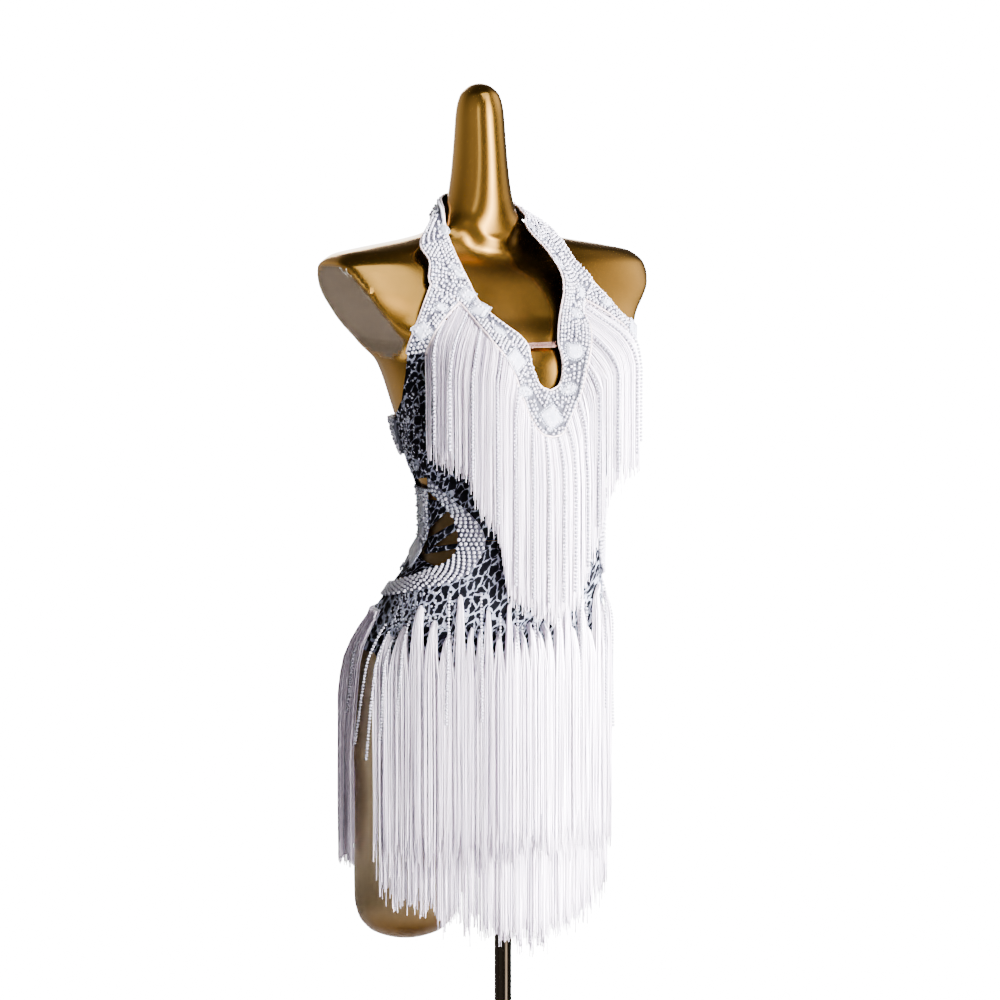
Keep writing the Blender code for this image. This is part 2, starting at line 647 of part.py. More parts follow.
def build_halter(look):
    """Beaded halter: V at the chest, straps round the nape, a leg to each armhole."""
    places = halter_places()
    wall = Wall()
    lines = []
    legs = []
    for side in (-1, 1):
        inner, outer, leg_low, leg_high = halter_edges(side)
        run = places[:-1] if side < 0 else places[:0:-1]
        edge = []
        for place in run:
            points = across_points(smooth_path(outer, place), smooth_path(inner, place),
                                   HALTER_ACROSS)
            lines.append([wall.bare(point) for point in points])
            if APEX <= place <= APEX + 1:
                edge.append(lines[-1][0])
        leg = [edge]
        for step in range(2 * LEG_STEPS):
            place = (step + 1) / LEG_STEPS
            ends = (smooth_path(leg_low, place), smooth_path(leg_high, place))
            points = across_points(*(ends if side < 0 else ends[::-1]), len(edge) - 1)
            leg.append([wall.bare(point) for point in points])
        legs.append(leg)
    wall.grid(lines, closed=True)
    for leg in legs:
        wall.grid(leg)
    wall.thicken(BEADED, HALTER_STONES)
    wall.build("halter_yoke", look)


def build_keyhole_bar(look):
    """Small bar that closes the neckline above the keyhole."""
    wall = Wall()
    lines = []
    for k in range(BAR_STEPS + 1):
        bearing = BAR_FROM + (BAR_TO - BAR_FROM) * k / BAR_STEPS
        lines.append([wall.site(bearing, BAR_FOOT, BAR_LIFT, BAR_THICK),
                      wall.site(bearing, BAR_TOP, BAR_LIFT, BAR_THICK)])
    wall.grid(lines)
    wall.build("keyhole_bar", look)


def bodice_top(bearing):
    """Top of the printed front: under the halter and its leg, then down the armhole."""
    size = abs(bearing)
    side = -1 if bearing < 0 else 1
    if size >= ARMHOLE[0].bearing:
        return edge_height(ARMHOLE, size)
    rows = HALTERS[side][:APEX]
    edges = [Edge(row.outer, row.outer_height + MARGIN) for row in rows] + [ARMHOLE[0]]
    return edge_height(edges, size)


def hip_top(bearing):
    """Top of the hip panels, at the waist seam and below the trim."""
    return edge_height(HIP_TOP, abs(turn(bearing))) - CUT_GAP


def build_panels(printed):
    """Printed front, hips and back."""
    half = [0, 7, 14, 21, 28, 36, 38, 44, 49.5, 53, 55, 57, 60, 65, 67, 71, 77, 84]
    columns = [-b for b in reversed(half) if b] + half
    panel("bodice_front", columns, bodice_top, BODICE_FOOT, BODICE_ROWS, printed, BODICE_CROWD)
    half = [0, 9, 18, 27, 36, 37.5, 44, 50, 55, 64, 74, 78, 85, SIDE_SEAM - 0.15]
    columns = [-b for b in reversed(half) if b] + half
    panel("hip_front", columns, hip_top, HIP_FOOT, HIP_ROWS, printed)
    half = [SIDE_SEAM + 0.15, 98, 104, 110, 116, 122, 131, 140, 150, 160, 170]
    columns = half + [180] + [360 - b for b in reversed(half)]
    panel("hip_back", columns, hip_top, HIP_FOOT, HIP_ROWS, printed)
    build_back_panel(printed)


def build_back_panel(look):
    """Printed back between the two waist cut-outs."""
    wall = Wall()
    lines = []
    for edge in BACK_PANEL_EDGE:
        line = []
        for k in range(BACK_PANEL_STEPS + 1):
            bearing = edge.bearing + (360 - 2 * edge.bearing) * k / BACK_PANEL_STEPS
            height = edge.height
            if edge is BACK_PANEL_EDGE[0]:
                height = edge_height(HIP_TOP, abs(turn(bearing))) + TRIM_ROUND_BACK
            line.append(wall.site(bearing, height, CLEAR, CLOTH))
        lines.append(line)
    wall.grid(lines)
    wall.build("back_panel", look)


def build_trims(look, printed):
    """Beaded trims round the waist cut-outs and the printed straps across them."""
    for side, hand in ((-1, "right"), (1, "left")):
        rows = stations(FRONT_TRIM, FRONT_TRIM_STEPS)
        ribbon("cutout_front_trim_" + hand, rows, side, 2, (), BEADED, look)
        rows = stations(BACK_TRIM, BACK_TRIM_STEPS)
        ribbon("cutout_back_trim_" + hand, rows, side, 3, TRIM_STONES, BEADED, look)
        for strap in STRAPS:
            build_strap(strap, side, hand, printed)
    wall = Wall()
    lines = []
    for k in range(BAND_STEPS + 1):
        bearing = BAND_FROM + (360 - 2 * BAND_FROM) * k / BAND_STEPS
        lines.append([wall.site(bearing, BAND_FOOT + (BAND_TOP - BAND_FOOT) * j / 3, CLEAR,
                                BEADED + (BAND_SWELL if j in (1, 2) else 0.0))
                      for j in range(4)])
    wall.grid(lines)
    wall.build("back_band", look)


def build_strap(strap, side, hand, look):
    """Flat printed strap across a waist cut-out, its ends just short of the trims."""
    start = skin(side * strap.back, strap.back_height)
    end = skin(side * strap.front, strap.front_height)
    run = end - start
    upright = Vector((0, 0, 1))
    across = (upright - run.normalized() * run.normalized().dot(upright)).normalized()
    tilt = strap.width / 2 * across
    wall = Wall()
    lines = []
    for k in range(5):
        bearing, height = blend((strap.back, strap.back_height),
                                (strap.front, strap.front_height), k / 4)
        half = tilt.length * abs(across.z)
        slide = math.degrees(tilt.dot(Vector((1, 0, 0))) / reach(round(bearing, 4), 1.06)) * side
        lines.append([wall.site(side * (bearing - slide), height - half, CLEAR, CLOTH),
                      wall.site(side * (bearing + slide), height + half, CLEAR, CLOTH)])
    wall.grid(lines)
    wall.build("cutout_strap_%s_%s" % (strap.name, hand), look)


# ---------------------------------------------------------------- fringe
class Comb:
    """Fringe: a narrow heading strip, and locks that hang from the foot of every other cell."""

    def __init__(self):
        self.points = []
        self.faces = []
        self.stations = []

    def station(self, corners):
        """Add one cross section of the heading: inner foot, outer foot, outer top, inner top."""
        self.points += corners
        self.stations.append(list(range(len(self.points) - 4, len(self.points))))

    def lock(self, first, second, rings):
        """Hang a four sided lock from the foot of the cell between two stations."""
        mouth = [self.stations[first][0], self.stations[second][0],
                 self.stations[second][1], self.stations[first][1]]
        for ring in rings:
            numbers = []
            for point in ring:
                self.points.append(point)
                numbers.append(len(self.points) - 1)
            for k in range(4):
                j = (k + 1) % 4
                self.faces.append((mouth[k], mouth[j], numbers[j], numbers[k]))
            mouth = numbers
        self.faces.append(tuple(mouth))

    def build(self, name, look):
        """Close the heading: locks hang from the even cells, the odd cells have a plain foot."""
        for cell in range(len(self.stations) - 1):
            here, there = self.stations[cell], self.stations[cell + 1]
            for k in range(1, 4):
                j = (k + 1) % 4
                self.faces.append((here[k], here[j], there[j], there[k]))
            if cell % 2:
                self.faces.append((here[0], here[1], there[1], there[0]))
        self.faces.append(tuple(self.stations[0]))
        self.faces.append(tuple(self.stations[-1]))
        return solid(name, self.points, self.faces, look)


def plumb_line(start, bearing_at, levels, lift, drop_to):
    """Distances from the axis down a lock: never nearer than any skin above."""
    distance = 0.0
    result = []
    for level in levels:
        steps = 4
        for k in range(steps):
            height = start + (level - start) * (k + 1) / steps
            if height > drop_to:
                here = reach(round(bearing_at(height), 4), round(height, 6))
                distance = max(distance, here + lift)
        result.append(distance)
        start = level
    return result


def hang(comb, cell, edges, root_height, levels, bearing_at, lift, taper):
    """Hang one lock: its two sides keep their own bearing, its inner face its own distance."""
    sides = [plumb_line(root_height(edge), lambda h, e=edge: bearing_at(e, h), levels(edge), lift,
                        0.80) for edge in edges]
    rings = []
    for k in range(len(sides[0])):
        last = k == len(sides[0]) - 1
        inward = taper if last else 1.0
        middle = sum(edges) / 2
        ring = []
        for out in (0.0, LOCK_DEPTH):
            pair = []
            for edge, distances in zip(edges, sides):
                height = levels(edge)[k]
                narrowed = middle + (edge - middle) * inward
                pair.append(around(bearing_at(narrowed, height), height, distances[k] + out))
            ring.append(pair)
        rings.append([ring[0][0], ring[0][1], ring[1][1], ring[1][0]])
    comb.lock(2 * cell, 2 * cell + 1, rings)


@lru_cache(maxsize=None)
def chest_heading(spread):
    """Cross section of the heading under the halter's edge, for a lock's bearing at the bust."""
    side = -1 if spread < 0 else 1
    size = abs(spread)
    k = max(i for i in range(len(CHEST_SPREAD) - 1) if CHEST_SPREAD[i] <= size or i == 0)
    place = k + min((size - CHEST_SPREAD[k]) / (CHEST_SPREAD[k + 1] - CHEST_SPREAD[k]), 1.0)
    _, outer, leg_low, _ = halter_edges(side)
    if place <= APEX:
        edge = smooth_path(outer, place)
    else:
        edge = smooth_path(leg_low, place - APEX)
    bearing = math.degrees(math.atan2(edge.x, AXIS_Y - edge.y))
    fall = (skin(bearing, edge.z - 0.004) - skin(bearing, edge.z)).normalized()
    top = push_out(edge + fall * CUT_GAP * 1.5, CHEST_STRIP_LIFT)
    foot = push_out(edge + fall * (CUT_GAP * 1.5 + STRIP_DROP), CHEST_STRIP_LIFT)
    out = (lifted(bearing, edge.z, 1.0) - skin(bearing, edge.z)) * STRIP
    return foot, foot + out, top + out, top


def build_chest_fringe(look):
    """Fringe from the lower edge of the halter, spread over the bust, then plumb."""
    comb = Comb()
    pitch = 2 * CHEST_SPREAD[-1] / (CHEST_LOCKS - 1 + LOCK_SHARE)
    half = LOCK_SHARE / 2 * pitch
    places = [(k - (CHEST_LOCKS - 1) / 2) * pitch for k in range(CHEST_LOCKS)]
    for place in places:
        for edge in (place - half, place + half):
            comb.station(chest_heading(edge))

    def root(spread):
        return chest_heading(spread)[0].z

    def bearing_at(spread, height):
        foot = chest_heading(spread)[0]
        bearing = math.degrees(math.atan2(foot.x, AXIS_Y - foot.y))
        full = min(BUST_HEIGHT, foot.z - 0.03)
        part = min(max((foot.z - height) / (foot.z - full), 0.0), 1.0)
        return bearing + (spread - bearing) * part

    for cell, place in enumerate(places):
        count = 2 + max(0, math.ceil((root(place) - BUST_HEIGHT - 0.045) / 0.025))
        tip = edge_height(CHEST_HEM, place)

        def levels(edge, count=count, tip=tip):
            low = min(BUST_HEIGHT, root(edge) - 0.030)
            return [root(edge) + (low - root(edge)) * (k + 1) / count
                    for k in range(count)] + [tip]
        hang(comb, cell, (place - half, place + half), root, levels, bearing_at, CHEST_LOCK_LIFT,
             LOCK_TAPER)
    comb.build("fringe_chest", look)


def build_skirt_fringe(name, start, end, count, roots, hem, lift, look, ripple=0.004):
    """Skirt fringe between two bearings, plumb from the widest of the hip."""
    comb = Comb()
    pitch = (end - start) / (count - 1 + LOCK_SHARE)
    half = LOCK_SHARE / 2 * pitch
    places = [start + half + k * pitch for k in range(count)]

    def root(bearing):
        return roots(abs(turn(bearing))) - STRIP_DROP

    def bearing_at(bearing, _height):
        return bearing

    for place in places:
        for edge in (place - half, place + half):
            foot, top = root(edge), root(edge) + STRIP_DROP
            inner = [reach(round(edge, 4), round(level, 6)) + HIP_STRIP_LIFT
                     for level in (foot, top)]
            comb.station([around(edge, foot, inner[0]), around(edge, foot, inner[0] + STRIP),
                          around(edge, top, inner[1] + STRIP), around(edge, top, inner[1])])
    for cell, place in enumerate(places):
        high = root(place) > 0.92
        tip = hem(place) + ripple * math.sin(cell * 2.4)
        edges = (place - half, place + half)

        def levels(edge, tip=tip):
            first = root(edge) - 0.010
            middle = [(first + HIP_HEIGHT) / 2] if high else []
            return [first] + middle + [HIP_HEIGHT, tip]
        hang(comb, cell, edges, root, levels, bearing_at, lift, LOCK_TAPER)
    comb.build(name, look)


def build_fringes(look):
    """All four fringes."""
    build_chest_fringe(look)
    build_skirt_fringe("fringe_skirt_upper", -FRINGE_SIDE, FRINGE_SIDE, UPPER_LOCKS,
                       lambda b: edge_height(UPPER_ROOTS, b),
                       lambda b: edge_height(UPPER_HEM, b), 0.0096, look)
    build_skirt_fringe("fringe_skirt_under", -FRINGE_SIDE, FRINGE_SIDE, UNDER_LOCKS,
                       lambda b: UNDER_ROOT,
                       lambda b: edge_height(UNDER_HEM, b), 0.0062, look)
    build_skirt_fringe("fringe_skirt_back", BACK_SIDE, 360 - BACK_SIDE, BACK_LOCKS,
                       lambda b: edge_height(BACK_ROOTS, b),
                       lambda b: edge_height(BACK_HEM, abs(turn(b))), 0.0070, look)


def main():
    """Clear the scene and build every piece."""
    for item in list(bpy.data.objects):
        bpy.data.objects.remove(item, do_unlink=True)
    gold = material("gold_lacquer", (0.62, 0.42, 0.16), 0.22, 0.9)
    steel = material("dark_chrome", (0.45, 0.43, 0.42), 0.18, 1.0)
    base = material("base_lacquer", (0.30, 0.22, 0.10), 0.35, 0.7)
    beaded = material("beaded_net", (0.86, 0.86, 0.90), 0.35)
    printed = material("printed_jersey", (0.22, 0.22, 0.24), 0.6)
    copper = material("rose_bar", (0.80, 0.55, 0.45), 0.25, 0.9)
    fringe = material("fringe_yarn", (0.90, 0.89, 0.95), 0.45)
    build_form(gold)
    build_stand(steel, base)
    build_halter(beaded)
    build_keyhole_bar(copper)
    build_panels(printed)
    build_trims(beaded, printed)
    build_fringes(fringe)


main()
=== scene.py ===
"""Latin dance dress on a gold dress form: cloth, beading, fringe, form, stand and studio.

Metres, +Z up, the wearer faces -Y. A site on the figure is a bearing in degrees about one upright
axis (0 at the front, positive toward the wearer's left, +X) and a height above the floor. Cloth,
beads and fringe are placed by sites, and lie on the form or on each other.
"""
from __future__ import annotations

import logging
import math
from dataclasses import dataclass, field
from enum import Enum
from typing import Callable, Sequence

import bpy
import numpy as np
from mathutils import Matrix, Vector

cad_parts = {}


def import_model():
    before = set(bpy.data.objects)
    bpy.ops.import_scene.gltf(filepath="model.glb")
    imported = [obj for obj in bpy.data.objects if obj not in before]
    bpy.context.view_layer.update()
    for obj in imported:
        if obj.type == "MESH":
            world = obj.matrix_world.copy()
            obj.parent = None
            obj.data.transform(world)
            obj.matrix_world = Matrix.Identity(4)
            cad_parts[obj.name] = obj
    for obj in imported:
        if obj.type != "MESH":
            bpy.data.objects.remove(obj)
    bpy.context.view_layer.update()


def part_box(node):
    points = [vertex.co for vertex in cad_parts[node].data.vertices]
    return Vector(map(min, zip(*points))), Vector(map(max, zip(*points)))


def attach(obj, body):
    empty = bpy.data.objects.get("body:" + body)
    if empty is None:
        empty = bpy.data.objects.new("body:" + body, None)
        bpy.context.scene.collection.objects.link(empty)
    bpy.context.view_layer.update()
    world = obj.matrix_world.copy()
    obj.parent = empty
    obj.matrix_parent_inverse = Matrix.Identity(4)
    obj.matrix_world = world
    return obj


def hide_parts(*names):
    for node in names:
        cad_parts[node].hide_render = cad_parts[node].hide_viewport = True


LOG = logging.getLogger("dance_dress")
Array = np.ndarray
BODY = "root"
HANDS = ((-1, "right"), (1, "left"))  # the wearer's sides, by the sign of their bearings

# ---------------------------------------------------------------- driving sizes
AXIS_Y = 0.020                # upright axis of all bearings
CLEAR = 0.0022                # cloth stands this far off the form
CLOTH = 0.0015                # printed stretch cloth
BEADED = 0.0022               # beaded net
SEAM = 0.0003                 # between pieces that meet
HALTER_LIFT = 0.0050          # the halter's inner side stands this far off the form
TRIM_LIFT = 0.0040            # trims lie on the edges of the printed panels
TRIM_THICK = 0.0010
OVERLAP = 0.0020              # how far a trim reaches over a panel
HIP_STRIP_LIFT = 0.0052       # the skirt's headings stand this far off the form
STRIP = 0.0014                # a woven heading's thickness
STRIP_DROP = 0.0098           # and its width
LAYER_GAP = 0.0012            # from one layer of strands to the next
WAIST_HEIGHT = 1.058
BUST_HEIGHT = 1.232
PLUMB_BELOW = 0.80            # fringe hangs plumb below this height
NECK_TOP = 1.520
RING_PITCH = 0.0024           # small crystals round a large stone
RING_SIZE = 0.0020
RING_GAP = 0.0014
SKIN_FOOT = 0.780             # the skin is measured from here up,
SKIN_STEP = 0.0015            # by these steps of height
SKIN_TURN = 0.5               # and of bearing
FARTHEST, HALVINGS = 0.4, 24  # where the search for the skin starts, and its steps
LEAST_SINE = 0.01             # keeps the distance to a flat cut finite


# ---------------------------------------------------------------- the figure
@dataclass(frozen=True)
class Level:
    """One section of the torso."""

    height: float
    half_width: float
    front: float
    back: float
    centre: float
    roundness: float


LEVELS = (
    Level(0.790, 0.143, 0.084, 0.092, 0.052, 2.2),
    Level(0.830, 0.149, 0.090, 0.102, 0.050, 2.2),
    Level(0.870, 0.152, 0.094, 0.108, 0.048, 2.2),
    Level(0.910, 0.149, 0.094, 0.109, 0.042, 2.2),
    Level(0.950, 0.138, 0.090, 0.104, 0.028, 2.2),
    Level(0.990, 0.123, 0.087, 0.092, 0.008, 2.2),
    Level(1.030, 0.108, 0.083, 0.076, -0.012, 2.2),
    Level(1.060, 0.103, 0.080, 0.068, -0.021, 2.2),
    Level(1.100, 0.105, 0.081, 0.070, -0.022, 2.2),
    Level(1.150, 0.118, 0.084, 0.082, -0.016, 2.2),
    Level(1.200, 0.130, 0.086, 0.094, -0.008, 2.2),
    Level(1.245, 0.142, 0.085, 0.098, 0.000, 2.3),
    Level(1.270, 0.165, 0.079, 0.095, 0.006, 2.8),
    Level(1.295, 0.190, 0.062, 0.090, 0.012, 3.4),
    Level(1.325, 0.204, 0.047, 0.084, 0.016, 4.0),
    Level(1.348, 0.200, 0.039, 0.072, 0.020, 4.0),
    Level(1.361, 0.188, 0.035, 0.056, 0.026, 3.2),
    Level(1.369, 0.150, 0.034, 0.046, 0.031, 2.6),
    Level(1.376, 0.105, 0.035, 0.040, 0.036, 2.2),
    Level(1.383, 0.072, 0.036, 0.038, 0.040, 2.0),
    Level(1.393, 0.054, 0.037, 0.038, 0.041, 2.0),
    Level(1.408, 0.040, 0.037, 0.037, 0.041, 2.0),
    Level(1.435, 0.033, 0.035, 0.035, 0.041, 2.0),
    Level(1.470, 0.029, 0.032, 0.032, 0.041, 2.0),
    Level(NECK_TOP, 0.026, 0.027, 0.027, 0.041, 2.0),
)
ARM_CUT_TOP, ARM_CUT_SLOPE, ARM_CUT_FOOT = 0.1965, 0.62, 0.146
ARM_CUT_HEIGHT = 1.350
ARM_CUT_EASE = 0.0012         # rounding of the cut's edge
LEFT_SHOULDER, LEFT_FROM, LEFT_FULL = 0.011, 1.292, 1.322   # the left one is cut farther out
FRONT_SQUARE = 0.45           # how much of a section's squareness its front has
CUP_BEARING, CUP_HEIGHT, CUP_RISE, CUP_SPREAD = 40.0, 1.235, 0.029, 19.5
CUP_ABOVE, CUP_BELOW = 0.052, 0.040


def unit(vectors: Array) -> Array:
    """Vectors brought to length one."""
    return vectors / np.maximum(np.linalg.norm(vectors, axis=-1, keepdims=True), 1e-12)


def turned(bearing: Array) -> Array:
    """Bearings brought between -180 and 180."""
    return (np.asarray(bearing, float) + 180.0) % 360.0 - 180.0


class Figure:
    """Skin of the torso: its distance from the upright axis at any site."""

    def __init__(self) -> None:
        """Measures the skin once, on a fine grid of sites."""
        self.heights = np.arange(SKIN_FOOT, NECK_TOP + SKIN_STEP, SKIN_STEP)
        self.bearings = np.arange(-180.0, 180.0, SKIN_TURN)
        self.grid = self._measure(self.bearings[None, :], self.heights[:, None])

    @staticmethod
    def sections(height: Array) -> list[Array]:
        """Half width, front, back, centre and roundness at heights.

        Args:
            height: heights above the floor.

        Returns:
            One array for each of the five, eased between the levels.
        """
        rows = np.array([(v.height, v.half_width, v.front, v.back, v.centre, v.roundness)
                         for v in LEVELS])
        at = rows[:, 0]
        slopes = np.diff(rows[:, 1:], axis=0) / np.diff(at)[:, None]
        before, after = slopes[:-1], slopes[1:]
        turn = before * after <= 0
        inner = np.where(turn, 0.0, 2 * before * after / np.where(turn, 1.0, before + after))
        tangents = np.vstack([slopes[:1], inner, slopes[-1:]])
        k = np.clip(np.searchsorted(at, height, side="right") - 1, 0, len(at) - 2)
        step = (at[k + 1] - at[k])[..., None]
        t = ((height - at[k])[..., None]) / step
        value = ((2 * t**3 - 3 * t**2 + 1) * rows[k, 1:]
                 + (t**3 - 2 * t**2 + t) * step * tangents[k]
                 + (3 * t**2 - 2 * t**3) * rows[k + 1, 1:]
                 + (t**3 - t**2) * step * tangents[k + 1])
        return [value[..., i] for i in range(5)]

    @staticmethod
    def arm_cut(height: Array, side: Array) -> Array:
        """Distance from the middle plane at which a shoulder is cut flat.

        Args:
            height: heights above the floor.
            side: positive on the wearer's left.

        Returns:
            The distances.
        """
        extra = LEFT_SHOULDER * np.clip((height - LEFT_FROM) / (LEFT_FULL - LEFT_FROM), 0.0, 1.0)
        level = np.maximum(ARM_CUT_TOP + ARM_CUT_SLOPE * (height - ARM_CUT_HEIGHT), ARM_CUT_FOOT)
        return level + np.where(side > 0, extra, 0.0)

    def _measure(self, bearing: Array, height: Array) -> Array:
        """Distance from the axis to the skin, by halving.

        Args:
            bearing: bearings in degrees.
            height: heights above the floor.

        Returns:
            The distances.
        """
        width, front, back, centre, power = self.sections(height)
        side, ahead = np.sin(np.radians(bearing)), np.cos(np.radians(bearing))
        near = np.zeros(np.broadcast(bearing, height).shape)
        far = near + FARTHEST
        front_power = 2.0 + (power - 2.0) * FRONT_SQUARE
        for _ in range(HALVINGS):
            middle = (near + far) / 2
            along = AXIS_Y - middle * ahead - centre
            depth = np.where(along < 0, front, back)
            square = np.where(along < 0, front_power, power)
            outside = np.abs(middle * side / width)**square + np.abs(along / depth)**square > 1
            near, far = np.where(outside, near, middle), np.where(outside, middle, far)
        cut = self.arm_cut(height, side) / np.maximum(np.abs(side), LEAST_SINE)
        gap = np.clip((near - cut) / ARM_CUT_EASE, -40.0, 40.0)
        near = near - ARM_CUT_EASE * np.logaddexp(0.0, gap)
        spread = np.where(height > CUP_HEIGHT, CUP_ABOVE, CUP_BELOW)
        rise = CUP_RISE * np.exp(-((height - CUP_HEIGHT) / spread)**2)
        for hand in (-1, 1):
            near = near + rise * np.exp(-(turned(bearing - hand * CUP_BEARING) / CUP_SPREAD)**2)
        return near

    def reach(self, bearing: Array, height: Array) -> Array:
        """Distance from the axis to the skin at sites.

        Args:
            bearing: bearings in degrees.
            height: heights above the floor; below the torso its lowest section counts.

        Returns:
            The distances.
        """
        across = np.mod(np.asarray(bearing, float) + 180.0, 360.0) / SKIN_TURN
        up = np.clip((np.asarray(height, float) - SKIN_FOOT) / SKIN_STEP, 0,
                     len(self.heights) - 1.001)
        i, j = np.floor(up).astype(int), np.floor(across).astype(int) % len(self.bearings)
        u, v = up - i, across - np.floor(across)
        k = (j + 1) % len(self.bearings)
        low = self.grid[i, j] * (1 - v) + self.grid[i, k] * v
        high = self.grid[i + 1, j] * (1 - v) + self.grid[i + 1, k] * v
        return low * (1 - u) + high * u

    @staticmethod
    def around(bearing: Array, height: Array, distance: Array) -> Array:
        """Points at bearings, heights and distances from the axis.

        Args:
            bearing: bearings in degrees.
            height: heights above the floor.
            distance: distances from the axis.

        Returns:
            The points.
        """
        angle = np.radians(bearing)
        return np.stack(np.broadcast_arrays(distance * np.sin(angle),
                                            AXIS_Y - distance * np.cos(angle), height), -1)

    def skin(self, bearing: Array, height: Array) -> Array:
        """Points on the skin."""
        return self.around(bearing, height, self.reach(bearing, height))

    def normal(self, bearing: Array, height: Array, turn: float = 1.0,
               rise: float = 0.002) -> Array:
        """Directions straight out of the skin at sites.

        Args:
            bearing: bearings in degrees.
            height: heights above the floor.
            turn: how far to either side the skin's slope is taken.
            rise: how far above and below it is taken.

        Returns:
            The directions.
        """
        bearing, height = np.broadcast_arrays(np.asarray(bearing, float),
                                              np.asarray(height, float))
        across = self.skin(bearing + turn, height) - self.skin(bearing - turn, height)
        upward = self.skin(bearing, height + rise) - self.skin(bearing, height - rise)
        return unit(np.cross(across, upward))

    def lifted(self, bearing: Array, height: Array, lift: Array) -> Array:
        """Points moved straight out from the skin."""
        return (self.skin(bearing, height)
                + self.normal(bearing, height) * np.asarray(lift, float)[..., None])

    @staticmethod
    def bearing_of(points: Array) -> Array:
        """Bearings of points."""
        return np.degrees(np.arctan2(points[..., 0], AXIS_Y - points[..., 1]))

    def kept_off(self, points: Array, clearance: float) -> Array:
        """Points moved out where they lie nearer the skin than a clearance.

        Args:
            points: the points.
            clearance: the clearance.

        Returns:
            The points, moved.
        """
        for _ in range(3):
            bearing = self.bearing_of(points)
            normal = self.normal(bearing, points[..., 2])
            off = ((points - self.skin(bearing, points[..., 2])) * normal).sum(-1)
            points = points + normal * np.maximum(clearance - off, 0.0)[..., None]
        return points


# ---------------------------------------------------------------- meshes
def select_only(item: bpy.types.Object) -> None:
    """Make one object the selected and active one.

    Args:
        item: the object.
    """
    for other in bpy.context.selected_objects:
        other.select_set(False)
    item.select_set(True)
    bpy.context.view_layer.objects.active = item


def primitive(add: Callable[..., set[str]], **settings: object) -> bpy.types.Object:
    """Add a primitive with nothing else selected.

    Args:
        add: the operator that adds it.
        settings: the operator's settings.

    Returns:
        The new object.
    """
    bpy.ops.object.select_all(action="DESELECT")
    add(**settings)
    return bpy.context.view_layer.objects.active


def linked(name: str, data: bpy.types.ID) -> bpy.types.Object:
    """New object in the scene.

    Args:
        name: its name.
        data: its mesh, light or camera.

    Returns:
        The object, at the origin.
    """
    item = bpy.data.objects.new(name, data)
    bpy.context.scene.collection.objects.link(item)
    return item


def mesh_object(name: str, points: Array, faces: Sequence[Array],
                looks: Sequence[bpy.types.Material], uv: Array | None = None,
                picks: Array | None = None, smooth: bool = True) -> bpy.types.Object:
    """Mesh object from arrays.

    Args:
        name: the object's name.
        points: one row for each vertex.
        faces: blocks of faces, each with the same number of corners.
        looks: materials, in the order of the material numbers.
        uv: a pair for each vertex.
        picks: a material number for each face.
        smooth: whether it is shaded smooth.

    Returns:
        The object, at the origin.
    """
    mesh = bpy.data.meshes.new(name)
    rows = [row for block in faces for row in block.tolist()]
    mesh.from_pydata(np.asarray(points, float).tolist(), [], rows)
    for look in looks:
        mesh.materials.append(look)
    mesh.polygons.foreach_set("use_smooth", np.full(len(rows), smooth))
    if picks is not None:
        mesh.polygons.foreach_set("material_index", np.asarray(picks, np.int32))
    if uv is not None:
        layer = mesh.uv_layers.new(name="cloth")
        corners = np.concatenate([block.ravel() for block in faces])
        layer.data.foreach_set("uv", np.asarray(uv, np.float32)[corners].ravel())
    mesh.update()
    return linked(name, mesh)


def vertices_of(item: bpy.types.Object) -> Array:
    """A mesh object's vertices, one row for each.

    Args:
        item: the object.

    Returns:
        Their places.
    """
    points = np.empty(len(item.data.vertices) * 3)
    item.data.vertices.foreach_get("co", points)
    return points.reshape(-1, 3)


def joined(parts: Sequence[tuple[Array, Sequence[Array]]]) -> tuple[Array, list[Array]]:
    """Several sets of points and faces as one.

    Args:
        parts: the sets.

    Returns:
        All points, and all faces.
    """
    points, faces, start = [], [], 0
    for some, blocks in parts:
        points.append(some)
        faces += [block + start for block in blocks]
        start += len(some)
    return np.concatenate(points), faces


def shape_of(model: bpy.types.Object) -> tuple[Array, list[Array]]:
    """Points and faces of a modelled prototype, which is then removed.

    Args:
        model: the prototype.

    Returns:
        Its points, and a block of faces for each number of corners.
    """
    mesh = model.data
    points = np.array([v.co for v in mesh.vertices])
    faces: dict[int, list[list[int]]] = {}
    for polygon in mesh.polygons:
        faces.setdefault(len(polygon.vertices), []).append(list(polygon.vertices))
    bpy.data.objects.remove(model, do_unlink=True)
    return points, [np.array(block) for block in faces.values()]


def copies(shape: tuple[Array, list[Array]], places: Array, ahead: Array, out: Array,
           sizes: Array) -> tuple[Array, list[Array]]:
    """Copies of a prototype as one mesh.

    Args:
        shape: the prototype's points and faces, Z out and X ahead.
        places: where each copy's origin goes.
        ahead: each copy's X direction, before it is squared to its Z.
        out: each copy's Z direction.
        sizes: each copy's scale.

    Returns:
        Points and faces of all copies.
    """
    base, blocks = shape
    out = unit(out)
    ahead = unit(ahead - out * (ahead * out).sum(-1, keepdims=True))
    frames = np.stack([ahead, np.cross(out, ahead), out], 1)
    sizes = np.broadcast_to(np.asarray(sizes, float), (len(places),))
    points = places[:, None] + np.einsum("vk,nkj->nvj", base, frames) * sizes[:, None, None]
    starts = (np.arange(len(places)) * len(base))[:, None, None]
    faces = [(block[None] + starts).reshape(-1, block.shape[1]) for block in blocks]
    return points.reshape(-1, 3), faces


